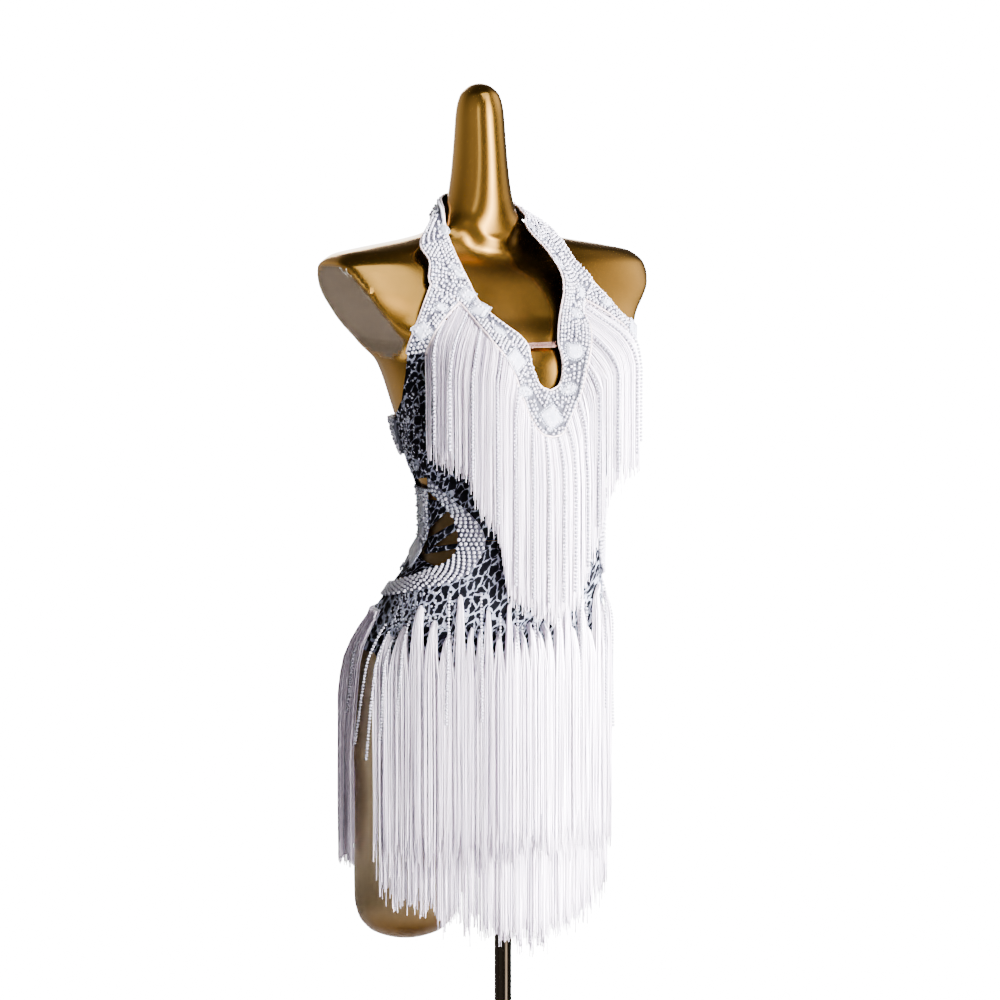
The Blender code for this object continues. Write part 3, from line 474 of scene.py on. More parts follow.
def tubes(paths: Array, radius: Array | float, sides: int,
          closed: bool = False) -> tuple[Array, list[Array]]:
    """Tubes of one number of rings along many paths.

    Args:
        paths: paths, rings and coordinates.
        radius: one for all, or one for each ring.
        sides: corners of a ring.
        closed: whether each path meets its own start.

    Returns:
        Points and faces, the ends closed.
    """
    count, rings = paths.shape[:2]
    if closed:
        ahead = unit(np.roll(paths, -1, 1) - np.roll(paths, 1, 1))
    else:
        ahead = unit(np.gradient(paths, axis=1))
    out = unit((paths - [0.0, AXIS_Y, 0.0]) * [1.0, 1.0, 0.0])
    across = unit(np.cross(ahead, out))
    out = np.cross(across, ahead)
    angles = 2 * np.pi * np.arange(sides) / sides
    radius = np.broadcast_to(np.asarray(radius, float), (count, rings))[..., None, None]
    points = paths[:, :, None] + radius * (across[:, :, None] * np.cos(angles)[:, None]
                                           + out[:, :, None] * np.sin(angles)[:, None])
    index = np.arange(count * rings * sides).reshape(count, rings, sides)
    low = index if closed else index[:, :-1]
    high = np.roll(index, -1, 1) if closed else index[:, 1:]
    quads = np.stack([low, np.roll(low, -1, 2), np.roll(high, -1, 2), high], -1).reshape(-1, 4)
    faces = [quads]
    if not closed:
        faces.append(np.concatenate([index[:, 0, ::-1], index[:, -1]]))
    return points.reshape(-1, 3), faces


def eased_path(knots: Array, places: Array) -> Array:
    """Points on a smooth path through knots.

    Args:
        knots: the knots, in order.
        places: where on the path, counted in knots.

    Returns:
        A point for each place.
    """
    padded = np.vstack([2 * knots[0] - knots[1], knots, 2 * knots[-1] - knots[-2]])
    k = np.clip(np.floor(places).astype(int), 0, len(knots) - 2)
    t = (np.asarray(places, float) - k)[:, None]
    before, start, end, after = (padded[k + i] for i in range(4))
    return (start * (2 * t**3 - 3 * t**2 + 1) + end * (3 * t**2 - 2 * t**3)
            + (end - before) * (t**3 - 2 * t**2 + t) / 2 + (after - start) * (t**3 - t**2) / 2)


def edge_height(edges: Sequence[tuple[float, float]], bearing: Array) -> Array:
    """Height of an edge at bearings, straight between its rows."""
    table = np.array(edges)
    return np.interp(bearing, table[:, 0], table[:, 1])


def runs(grid: Array) -> Array:
    """Length from the start of each of a grid's rows to each of its points."""
    steps = np.linalg.norm(np.diff(grid, axis=1), axis=2)
    return np.concatenate([np.zeros((len(grid), 1)), np.cumsum(steps, 1)], 1)


def run_of(path: Array) -> Array:
    """Length from a path's start to each of its points."""
    return runs(path[None])[0]


def on_path(places: Array, run: Array, path: Array) -> Array:
    """Points at lengths along a path.

    Args:
        places: the lengths.
        run: the length at each of the path's points.
        path: the path.

    Returns:
        A point for each length.
    """
    return np.stack([np.interp(places, run, column) for column in path.T], -1)


def rim(first: Array, second: Array, shift: int) -> Array:
    """Faces between an edge of a wall's inner side and the same edge of its outer side.

    Args:
        first: vertex at the start of each step along the inner edge.
        second: vertex at its end.
        shift: how much higher the outer side's vertices are numbered.

    Returns:
        A face for each step.
    """
    return np.stack([first, second, second + shift, first + shift], -1)


@dataclass
class Patch:
    """Grid of points on a piece of cloth: rows along it, columns across it."""

    points: Array
    closed: bool = False
    normals: Array = field(init=False)
    along: Array = field(init=False)

    def __post_init__(self) -> None:
        """Works out the outward normals and the directions along the piece."""
        grid = self.points
        if self.closed:
            self.along = unit(np.roll(grid, -1, 0) - np.roll(grid, 1, 0))
        else:
            self.along = unit(np.gradient(grid, axis=0))
        normals = unit(np.cross(self.along, np.gradient(grid, axis=1)))
        outward = (normals * (grid - [0.0, AXIS_Y, 0.0]))[..., :2].sum()
        self.normals = normals if outward > 0 else -normals

    def raised(self, lift: Array | float) -> Array:
        """The grid's points moved out along their normals."""
        return self.points + self.normals * np.broadcast_to(
            np.asarray(lift, float), self.points.shape[:2])[..., None]

    def length(self) -> float:
        """Length along the middle of the piece."""
        middle = self.points[:, self.points.shape[1] // 2]
        return float(np.linalg.norm(np.diff(middle, axis=0), axis=1).sum())

    def widths(self) -> Array:
        """Width of the piece at each of its rows."""
        return np.linalg.norm(np.diff(self.points, axis=1), axis=2).sum(1)

    def at(self, rows: Array, parts: Array) -> tuple[Array, Array, Array]:
        """Points, normals and directions along the piece at places on it.

        Args:
            rows: places along the piece, counted in rows.
            parts: places across it, from 0 to 1.

        Returns:
            Points, normals and directions.
        """
        count, across = self.points.shape[:2]
        i = np.clip(np.floor(rows).astype(int), 0, count - 2)
        j = np.clip(np.floor(parts * (across - 1)).astype(int), 0, across - 2)
        u, v = (rows - i)[:, None], (parts * (across - 1) - j)[:, None]
        found = []
        for grid in (self.points, self.normals, self.along):
            low = grid[i, j] * (1 - v) + grid[i, j + 1] * v
            found.append(low * (1 - u) + (grid[i + 1, j] * (1 - v) + grid[i + 1, j + 1] * v) * u)
        return found[0], unit(found[1]), unit(found[2])

    def uv(self) -> Array:
        """Pairs in metres: across the piece from its middle, and along it.

        Returns:
            A pair for each point of the grid.
        """
        across = runs(self.points)
        along = run_of(self.points[:, self.points.shape[1] // 2])
        across -= across[:, across.shape[1] // 2][:, None]
        return np.stack([across, np.broadcast_to(along[:, None], across.shape)], -1)

    def wall(self, name: str, thick: Array | float, looks: Sequence[bpy.types.Material],
             uv: Array | None = None) -> bpy.types.Object:
        """Closed wall with the grid as its inner side.

        Args:
            name: the object's name.
            thick: the wall's thickness.
            looks: the outer material, and the inner one if it differs.
            uv: pairs for the grid, or the piece's own.

        Returns:
            The wall.
        """
        count, across = self.points.shape[:2]
        inner = np.arange(count * across).reshape(count, across)
        low, high = (inner, np.roll(inner, -1, 0)) if self.closed else (inner[:-1], inner[1:])
        cells = np.stack([low[:, :-1], low[:, 1:], high[:, 1:], high[:, :-1]], -1).reshape(-1, 4)
        sample = np.cross(self.points[1, 0] - self.points[0, 0],
                          self.points[0, 1] - self.points[0, 0])
        if (sample * self.normals[0, 0]).sum() > 0:
            cells = cells[:, ::-1]
        rims = [rim(low[:, k], high[:, k], inner.size) for k in (0, across - 1)]
        if not self.closed:
            rims += [rim(inner[k, :-1], inner[k, 1:], inner.size) for k in (0, count - 1)]
        faces = [cells[:, ::-1], cells + inner.size] + rims
        points = np.concatenate([self.points.reshape(-1, 3), self.raised(thick).reshape(-1, 3)])
        pairs = (self.uv() if uv is None else uv).reshape(-1, 2)
        picks = np.zeros(sum(len(block) for block in faces), int)
        if len(looks) > 1:
            picks[:len(cells)] = 1
        item = mesh_object(name, points, faces, looks, np.concatenate([pairs, pairs]), picks)
        select_only(item)
        bpy.ops.object.mode_set(mode="EDIT")
        bpy.ops.mesh.select_all(action="SELECT")
        bpy.ops.mesh.normals_make_consistent(inside=False)
        bpy.ops.object.mode_set(mode="OBJECT")
        return item


def between(first: Array, second: Array, count: int) -> Array:
    """Grid from one path to another, with a number of columns."""
    part = np.linspace(0.0, 1.0, count)[None, :, None]
    return first[:, None] * (1 - part) + second[:, None] * part


# ---------------------------------------------------------------- finishes
class Surface(Enum):
    """What a finish is made of."""

    LACQUER = "lacquer"
    METAL = "metal"
    PRINT = "print"
    NET = "net"
    YARN = "yarn"
    BEAD = "bead"


@dataclass(frozen=True)
class Finish:
    """Colours and gloss of one finish."""

    name: str
    slot: str
    surface: Surface
    colour: tuple[float, float, float]
    second: tuple[float, float, float]
    roughness: float
    metallic: float = 0.0
    coat: float = 0.0
    bump: float = 0.0
    specular: float = 0.5

    def colours(self) -> tuple[tuple[float, ...], tuple[float, ...]]:
        """Both colours, fully opaque."""
        return (*self.colour, 1.0), (*self.second, 1.0)


FINISHES = {f.name: f for f in (
    Finish("gold_lacquer", "form_lacquer", Surface.LACQUER, (0.78, 0.43, 0.075),
           (0.60, 0.31, 0.045), 0.20, metallic=1.0, coat=0.35, bump=0.02),
    Finish("pole_chrome", "pole_metal", Surface.METAL, (0.085, 0.07, 0.055),
           (0.055, 0.042, 0.03), 0.16, metallic=1.0),
    Finish("base_bronze", "base_lacquer", Surface.METAL, (0.42, 0.28, 0.11), (0.30, 0.19, 0.07),
           0.32, metallic=0.9, coat=0.2),
    Finish("rose_bead", "bar_metal", Surface.METAL, (0.52, 0.31, 0.26), (0.40, 0.23, 0.19),
           0.25, metallic=0.85),
    Finish("printed_jersey", "printed_jersey", Surface.PRINT, (0.0016, 0.0017, 0.0030),
           (0.28, 0.29, 0.36), 0.65, bump=0.25, specular=0.03),
    # beaded net: its own grey, darkened with painted shade for the shade between the pearls sewn
    # on it
    Finish("silver_net", "beaded_net", Surface.NET, (0.022, 0.022, 0.034), (0.06, 0.06, 0.085),
           0.45, bump=0.4),
    Finish("black_lining", "beaded_net", Surface.NET, (0.0025, 0.0025, 0.003),
           (0.006, 0.006, 0.008), 0.75, bump=0.3, specular=0.15),
    Finish("pale_piping", "beaded_net", Surface.NET, (0.40, 0.29, 0.29), (0.52, 0.42, 0.42),
           0.45, bump=0.3),
    Finish("white_yarn", "fringe_yarn", Surface.YARN, (0.85, 0.745, 0.85), (0.30, 0.265, 0.34),
           0.42, bump=0.35),
    Finish("white_heading", "fringe_yarn", Surface.NET, (0.24, 0.22, 0.27), (0.34, 0.32, 0.38),
           0.55, bump=0.4),
    Finish("pearl", "beaded_net", Surface.BEAD, (0.46, 0.43, 0.48), (0.34, 0.325, 0.39),
           0.22, coat=0.7),
    Finish("strung_pearl", "beaded_net", Surface.BEAD, (0.36, 0.345, 0.40), (0.26, 0.25, 0.31),
           0.22, coat=0.7),
    Finish("crystal", "beaded_net", Surface.BEAD, (0.62, 0.63, 0.72), (0.28, 0.29, 0.38),
           0.12, metallic=0.35, coat=0.6),
    Finish("flat_stone", "beaded_net", Surface.BEAD, (0.42, 0.42, 0.49), (0.27, 0.28, 0.34),
           0.16, metallic=0.25, coat=0.5),
)}
COAT_ROUGHNESS = 0.12
RELIEF = 0.0004               # what a bump of one stands for
DULL_SHADE_FROM, DULL_SHADE_FULL = 1.13, 1.09     # heights where the lacquer turns rougher, darkened by painted shade,
GREY_REFLECTION_FROM, GREY_REFLECTION_FULL = 0.95, 0.88     # pale on the thighs, with a painted grey reflection
FOOT_SHADE_FROM, FOOT_SHADE_FULL = 0.73, 0.62     # and dark at their ends, with painted shade
# painted shade: darkens the waist seen through the openings
PAINTED_SHADE_GOLD = (0.18, 0.11, 0.04, 1.0)
# painted reflection: the grey that the rougher thighs mirror, painted into their colour
PAINTED_GREY_REFLECTION_GOLD = (0.66, 0.53, 0.33, 1.0)
# painted shade: darkens the thighs' lower ends
PAINTED_FOOT_SHADE_GOLD = (0.115, 0.058, 0.012, 1.0)
SAWN_GOLD = (0.44, 0.345, 0.25, 1.0)
WORN_GOLD = (0.80, 0.74, 0.64, 1.0)
PRINT_DUSK = (0.16, 0.17, 0.23, 1.0)  # the darker of the print's pale lines
OPEN_FROM, OPEN_FULL, OPEN_SHARE = 1.04, 0.99, 0.035  # pale lines widen over the hips
PRINT_WARP, PRINT_TURN = 0.0075, -58.0
PRINT_CELLS = (62.0, 132.0, 62.0)     # patches to a metre, across and along their lean
PRINT_LINES = (-0.035, 0.105)         # how wide the pale lines are, in patches
TWIST_PITCH = 0.0022


class Nodes:
    """Node tree of a material or a group, with short calls to add to it."""

    def __init__(self, tree: bpy.types.NodeTree) -> None:
        """Wraps a tree."""
        self.tree = tree

    def add(self, kind: str, inputs: dict[str | int, object] | None = None,
            **settings: object) -> bpy.types.Node:
        """Add a node.

        Args:
            kind: the node's type.
            inputs: a socket or a value for each named input.
            settings: properties of the node.

        Returns:
            The node.
        """
        node = self.tree.nodes.new(kind)
        for name, value in settings.items():
            setattr(node, name, value)
        for name, value in (inputs or {}).items():
            if isinstance(value, bpy.types.NodeSocket):
                self.tree.links.new(value, node.inputs[name])
            else:
                node.inputs[name].default_value = value
        return node

    def use(self, effect: Effect, **inputs: object) -> bpy.types.Node:
        """Add a shared effect, with a socket or a value for each named input."""
        return self.add("ShaderNodeGroup", inputs, node_tree=effect.group())

    def math(self, operation: str, first: object, second: object = 0.0) -> bpy.types.NodeSocket:
        """Result of a math node."""
        return self.add("ShaderNodeMath", {0: first, 1: second}, operation=operation).outputs[0]

    def vector(self, operation: str, first: object, second: object) -> bpy.types.NodeSocket:
        """Result of a vector math node."""
        node = self.add("ShaderNodeVectorMath", {0: first, 1: second}, operation=operation)
        return node.outputs[0]

    def mix(self, factor: object, first: object, second: object) -> bpy.types.NodeSocket:
        """Colour between two colours."""
        node = self.add("ShaderNodeMix", {0: factor, 6: first, 7: second}, data_type="RGBA")
        return node.outputs[2]

    def ramp(self, value: object, low: float, high: float, start: float = 0.0,
             end: float = 1.0) -> bpy.types.NodeSocket:
        """A value's range brought to another, and held inside it."""
        node = self.add("ShaderNodeMapRange", {0: value, 1: low, 2: high, 3: start, 4: end})
        return node.outputs[0]

    def level(self, place: bpy.types.NodeSocket) -> bpy.types.NodeSocket:
        """Height of a place."""
        return self.add("ShaderNodeSeparateXYZ", {0: place}).outputs[2]


@dataclass(frozen=True)
class Effect:
    """Shader effect that materials share as one node group.

    The filler takes the group's nodes and its input node, whose first socket is a vector, and
    gives a socket for each output. Values are the other inputs, with what they are if unused.
    """

    name: str
    fill: Callable[[Nodes, bpy.types.Node], Sequence[bpy.types.NodeSocket]]
    outputs: tuple[str, ...]
    values: tuple[tuple[str, float], ...] = ()

    def group(self) -> bpy.types.NodeTree:
        """The node group, built the first time it is asked for.

        Returns:
            The group.
        """
        found = bpy.data.node_groups.get(self.name)
        if found:
            return found
        tree = bpy.data.node_groups.new(self.name, "ShaderNodeTree")
        tree.interface.new_socket(name="Vector", in_out="INPUT", socket_type="NodeSocketVector")
        for label, value in self.values:
            socket = tree.interface.new_socket(name=label, in_out="INPUT",
                                               socket_type="NodeSocketFloat")
            socket.default_value = value
        for label in self.outputs:
            tree.interface.new_socket(name=label, in_out="OUTPUT", socket_type="NodeSocketFloat")
        nodes = Nodes(tree)
        start = nodes.add("NodeGroupInput")
        end = nodes.add("NodeGroupOutput")
        for k, socket in enumerate(self.fill(nodes, start)):
            tree.links.new(socket, end.inputs[k])
        return tree


def mottle(nodes: Nodes, start: bpy.types.Node) -> list[bpy.types.NodeSocket]:
    """Soft uneven value, for colour and gloss that vary over a piece.

    Args:
        nodes: the group's nodes.
        start: its input node.

    Returns:
        The value.
    """
    noise = nodes.add("ShaderNodeTexNoise", {"Vector": start.outputs["Vector"],
                                             "Scale": start.outputs["Scale"], "Detail": 4.0,
                                             "Roughness": 0.6})
    return [nodes.ramp(noise.outputs["Fac"], 0.3, 0.7)]


def knit(nodes: Nodes, start: bpy.types.Node) -> list[bpy.types.NodeSocket]:
    """Height of a fine knit or net, from pairs in metres.

    Args:
        nodes: the group's nodes.
        start: its input node.

    Returns:
        The height.
    """
    parts = nodes.add("ShaderNodeSeparateXYZ", {0: start.outputs["Vector"]})
    turn = nodes.math("DIVIDE", 2 * math.pi, start.outputs["Pitch"])
    ribs, rows = (nodes.math("ABSOLUTE", nodes.math("SINE", nodes.math("MULTIPLY", part, turn)))
                  for part in parts.outputs[:2])
    return [nodes.math("MULTIPLY", ribs, nodes.math("ADD", rows, 0.4))]


def animal_print(nodes: Nodes, start: bpy.types.Node) -> list[bpy.types.NodeSocket]:
    """Mask of pale lines between dark rounded patches, as on an animal print.

    Args:
        nodes: the group's nodes.
        start: its input node.

    Returns:
        The mask.
    """
    flat = start.outputs["Vector"]
    shift = nodes.add("ShaderNodeTexNoise", {"Vector": flat, "Scale": 95.0, "Detail": 2.0})
    warp = nodes.vector("SUBTRACT", shift.outputs["Color"], (0.5, 0.5, 0.5))
    place = nodes.vector("ADD", flat, nodes.vector("MULTIPLY", warp, (PRINT_WARP,) * 3))
    place = nodes.add("ShaderNodeMapping", {"Vector": place,
                                            "Rotation": (0.0, 0.0, math.radians(PRINT_TURN))})
    place = nodes.vector("MULTIPLY", place.outputs[0], PRINT_CELLS)
    cells = nodes.add("ShaderNodeTexVoronoi", {"Vector": place, "Scale": 1.0},
                      feature="DISTANCE_TO_EDGE")
    broad = nodes.add("ShaderNodeTexNoise", {"Vector": flat, "Scale": 160.0, "Detail": 3.0})
    width = nodes.ramp(broad.outputs["Fac"], 0.3, 0.7, *PRINT_LINES)
    width = nodes.math("ADD", width, start.outputs["Share"])
    lines = nodes.math("SUBTRACT", width, cells.outputs["Distance"])
    return [nodes.ramp(lines, -0.022, 0.028)]


def twist(nodes: Nodes, start: bpy.types.Node) -> list[bpy.types.NodeSocket]:
    """Relief and tint of a yarn, from its own pairs: a number for each strand and a length.

    Args:
        nodes: the group's nodes.
        start: its input node.

    Returns:
        The twist's height, and a value that differs from strand to strand.
    """
    parts = nodes.add("ShaderNodeSeparateXYZ", {0: start.outputs["Vector"]})
    turn = nodes.math("MULTIPLY", parts.outputs[1], 2 * math.pi / TWIST_PITCH)
    own = nodes.math("MULTIPLY", parts.outputs[0], 40.0)
    wave = nodes.math("SINE", nodes.math("ADD", turn, own))
    tint = nodes.add("ShaderNodeTexWhiteNoise", {"W": parts.outputs[0]}, noise_dimensions="1D")
    return [nodes.ramp(wave, -1.0, 1.0), tint.outputs["Value"]]


def wear(nodes: Nodes, start: bpy.types.Node) -> list[bpy.types.NodeSocket]:
    """Ragged mask of worn lacquer from a soft mask of where it rubs.

    Args:
        nodes: the group's nodes.
        start: its input node.

    Returns:
        The mask.
    """
    noise = nodes.add("ShaderNodeTexNoise", {"Vector": start.outputs["Vector"], "Scale": 180.0,
                                             "Detail": 5.0, "Roughness": 0.7})
    broad = nodes.add("ShaderNodeTexNoise", {"Vector": start.outputs["Vector"], "Scale": 28.0})
    rough = nodes.math("ADD", noise.outputs["Fac"], broad.outputs["Fac"])
    gate = nodes.ramp(start.outputs["Rub"], 0.0, 1.0, 1.60, 1.02)
    return [nodes.ramp(nodes.math("SUBTRACT", rough, gate), -0.03, 0.05)]


def dullness_and_shade(nodes: Nodes, start: bpy.types.Node) -> list[bpy.types.NodeSocket]:
    """Masks of the lacquer's rougher part from the waist down, with painted shade and reflection.

    Args:
        nodes: the group's nodes.
        start: its input node.

    Returns:
        All of the rougher part with painted shade, the thighs with a painted grey reflection, and
        their ends with painted shade.
    """
    level = nodes.level(start.outputs["Vector"])
    return [nodes.ramp(level, DULL_SHADE_FROM, DULL_SHADE_FULL), nodes.ramp(level, GREY_REFLECTION_FROM, GREY_REFLECTION_FULL),
            nodes.ramp(level, FOOT_SHADE_FROM, FOOT_SHADE_FULL)]


MOTTLE = Effect("soft_mottle", mottle, ("Value",), (("Scale", 20.0),))
KNIT = Effect("fine_knit", knit, ("Height",), (("Pitch", 0.001),))
PRINT = Effect("patch_print", animal_print, ("Lines",), (("Share", 0.0),))
TWIST = Effect("yarn_twist", twist, ("Height", "Tint"))
WEAR = Effect("edge_wear", wear, ("Mask",), (("Rub", 0.0),))
DULLNESS_AND_SHADE = Effect("low_dullness_and_shade", dullness_and_shade, ("Mask", "Bare", "Foot"))
Sockets = dict[str, bpy.types.NodeSocket]


class Wardrobe:
    """All materials, each made the first time it is asked for.

    The method of each kind of surface gives a socket for each of the shader's inputs that it
    feeds, and one for its relief, if it has any, under "Height".
    """

    def __init__(self) -> None:
        """Starts empty."""
        self.made: dict[str, bpy.types.Material] = {}
        self.surfaces = {Surface.LACQUER: self._lacquer, Surface.METAL: self._metal,
                         Surface.PRINT: self._print, Surface.NET: self._net,
                         Surface.YARN: self._yarn, Surface.BEAD: self._bead}

    def get(self, name: str) -> bpy.types.Material:
        """Material of a finish.

        Args:
            name: the finish's name.

        Returns:
            The material.
        """
        if name not in self.made:
            self.made[name] = self._build(FINISHES[name])
        return self.made[name]

    def _build(self, finish: Finish) -> bpy.types.Material:
        """Material with the nodes that its surface needs.

        Args:
            finish: the finish.

        Returns:
            The material.
        """
        item = bpy.data.materials.new(finish.name)
        item.use_nodes = True
        nodes = Nodes(item.node_tree)
        shader = item.node_tree.nodes["Principled BSDF"]
        shader.inputs["Metallic"].default_value = finish.metallic
        shader.inputs["Roughness"].default_value = finish.roughness
        shader.inputs["Coat Weight"].default_value = finish.coat
        shader.inputs["Coat Roughness"].default_value = COAT_ROUGHNESS
        shader.inputs["Specular IOR Level"].default_value = finish.specular
        found = self.surfaces[finish.surface](nodes, finish)
        height = found.pop("Height", None)
        if height is not None and finish.bump:
            bump = nodes.add("ShaderNodeBump", {"Strength": finish.bump, "Distance": RELIEF,
                                                "Height": height})
            found["Normal"] = bump.outputs["Normal"]
        for name, socket in found.items():
            item.node_tree.links.new(socket, shader.inputs[name])
        return item

    @staticmethod
    def _metal(nodes: Nodes, finish: Finish) -> Sockets:
        """Uneven colour and gloss over a fine grain.

        Args:
            nodes: the material's nodes.
            finish: its finish.

        Returns:
            Colour, roughness and relief.
        """
        place = nodes.add("ShaderNodeTexCoord").outputs["Object"]
        broad = nodes.use(MOTTLE, Vector=place, Scale=6.0).outputs[0]
        gloss = nodes.ramp(broad, 0.0, 1.0, finish.roughness * 0.85, finish.roughness * 1.35)
        return {"Base Color": nodes.mix(broad, *finish.colours()), "Roughness": gloss,
                "Height": nodes.use(MOTTLE, Vector=place, Scale=260.0).outputs[0]}

    def _lacquer(self, nodes: Nodes, finish: Finish) -> Sockets:
        """Metal that is rougher from the waist down, with painted shade and reflection, grey where
        sawn, and worn at its edges.

        Args:
            nodes: the material's nodes.
            finish: its finish.

        Returns:
            Colour, roughness, metal, coat and relief.
        """
        found = self._metal(nodes, finish)
        place = nodes.add("ShaderNodeTexCoord").outputs["Object"]
        rub = nodes.add("ShaderNodeAttribute", attribute_name="rub").outputs["Fac"]
        sawn = nodes.add("ShaderNodeAttribute", attribute_name="sawn").outputs["Fac"]
        worn = nodes.use(WEAR, Vector=place, Rub=rub).outputs["Mask"]
        dull_and_shade = nodes.use(DULLNESS_AND_SHADE, Vector=place)
        # painted shade at the waist and the thighs' ends, and a painted grey reflection on the
        # thighs
        shade = nodes.mix(dull_and_shade.outputs["Bare"], PAINTED_SHADE_GOLD, PAINTED_GREY_REFLECTION_GOLD)
        shade = nodes.mix(dull_and_shade.outputs["Foot"], shade, PAINTED_FOOT_SHADE_GOLD)
        colour = nodes.mix(dull_and_shade.outputs["Mask"], found["Base Color"], shade)
        colour = nodes.mix(sawn, colour, SAWN_GOLD)
        flat = nodes.math("MULTIPLY", dull_and_shade.outputs["Mask"], 0.65)
        flat = nodes.math("MAXIMUM", nodes.math("MAXIMUM", worn, flat), sawn)
        flat = nodes.math("MULTIPLY", flat, 0.7)
        glazed = nodes.math("SUBTRACT", 1.0, dull_and_shade.outputs["Foot"])
        return found | {"Base Color": nodes.mix(worn, colour, WORN_GOLD),
                        "Roughness": nodes.math("MAXIMUM", found["Roughness"], flat),
                        "Metallic": nodes.math("SUBTRACT", 1.0, worn),
                        "Coat Weight": nodes.math("MULTIPLY", glazed, finish.coat)}

    @staticmethod
    def _print(nodes: Nodes, finish: Finish) -> Sockets:
        """Knitted cloth with an animal print.

        Args:
            nodes: the material's nodes.
            finish: its finish.

        Returns:
            Colour and relief.
        """
        place = nodes.add("ShaderNodeTexCoord")
        dark, pale = finish.colours()
        share = nodes.ramp(nodes.level(place.outputs["Object"]), OPEN_FROM, OPEN_FULL, 0.0,
                           OPEN_SHARE)
        mask = nodes.use(PRINT, Vector=place.outputs["UV"], Share=share)
        tint = nodes.use(MOTTLE, Vector=place.outputs["UV"], Scale=45.0)
        pale = nodes.mix(tint.outputs[0], pale, PRINT_DUSK)
        return {"Base Color": nodes.mix(mask.outputs[0], dark, pale),
                "Height": nodes.use(KNIT, Vector=place.outputs["UV"], Pitch=0.0016).outputs[0]}

    @staticmethod
    def _net(nodes: Nodes, finish: Finish) -> Sockets:
        """Plain net, tape or lining.

        Args:
            nodes: the material's nodes.
            finish: its finish.

        Returns:
            Colour and relief.
        """
        place = nodes.add("ShaderNodeTexCoord").outputs["UV"]
        tint = nodes.use(MOTTLE, Vector=place, Scale=130.0).outputs[0]
        return {"Base Color": nodes.mix(tint, *finish.colours()),
                "Height": nodes.use(KNIT, Vector=place, Pitch=0.0020).outputs[0]}

    @staticmethod
    def _yarn(nodes: Nodes, finish: Finish) -> Sockets:
        """Twisted yarn, each strand with a tint of its own.

        Args:
            nodes: the material's nodes.
            finish: its finish.

        Returns:
            Colour and relief.
        """
        yarn = nodes.use(TWIST, Vector=nodes.add("ShaderNodeTexCoord").outputs["UV"])
        shade = nodes.ramp(yarn.outputs["Tint"], 0.45, 1.0)
        return {"Base Color": nodes.mix(shade, *finish.colours()),
                "Height": yarn.outputs["Height"]}

    @staticmethod
    def _bead(nodes: Nodes, finish: Finish) -> Sockets:
        """Pearl or stone that differs a little from place to place.

        Args:
            nodes: the material's nodes.
            finish: its finish.

        Returns:
            Colour and roughness.
        """
        place = nodes.add("ShaderNodeTexCoord").outputs["Object"]
        tint = nodes.use(MOTTLE, Vector=place, Scale=150.0).outputs[0]
        gloss = nodes.ramp(tint, 0.0, 1.0, finish.roughness * 0.7, finish.roughness * 1.4)
        return {"Base Color": nodes.mix(tint, *finish.colours()), "Roughness": gloss}


# ---------------------------------------------------------------- prototypes
class StoneCut(Enum):
    """Shapes of large sewn stones."""

    SQUARE = "square"
    LEAF = "leaf"
    FAN = "fan"
    OVAL = "oval"


CORNERS = {StoneCut.SQUARE: 4, StoneCut.LEAF: 12, StoneCut.FAN: 12, StoneCut.OVAL: 14}
SQUARE_SPREAD = 1.30          # proportions of each cut, in its own lengths
LEAF_WIDTH, LEAF_TAPER = 0.56, 1.6
FAN_BACK, FAN_SHIFT, FAN_WIDTH, FAN_FLARE = -0.22, 0.05, 0.82, 0.36
OVAL_WIDTH = 0.66
GIRDLE = 0.07
FACETS = ((0.10, 0.045), (0.10, 0.015))   # how far each goes in and up
CRYSTAL_SIDES, CRYSTAL_GIRDLE, CRYSTAL_FACET = 8, 0.24, 0.16
PEARL_FLAT = -0.25            # a sewn pearl is cut flat here
LOOKS_UP = 0.9                # least upward part of the normal of a face that looks up
Shape = tuple[Array, list[Array]]


def edit_top(item: bpy.types.Object) -> None:
    """Go to edit mode with only the faces that look up selected.

    Args:
        item: the object.
    """
    bpy.ops.object.mode_set(mode="EDIT")
    bpy.ops.mesh.select_all(action="DESELECT")
    bpy.ops.mesh.select_mode(type="FACE")
    bpy.ops.object.mode_set(mode="OBJECT")
    for polygon in item.data.polygons:
        polygon.select = polygon.normal.z > LOOKS_UP
    bpy.ops.object.mode_set(mode="EDIT")


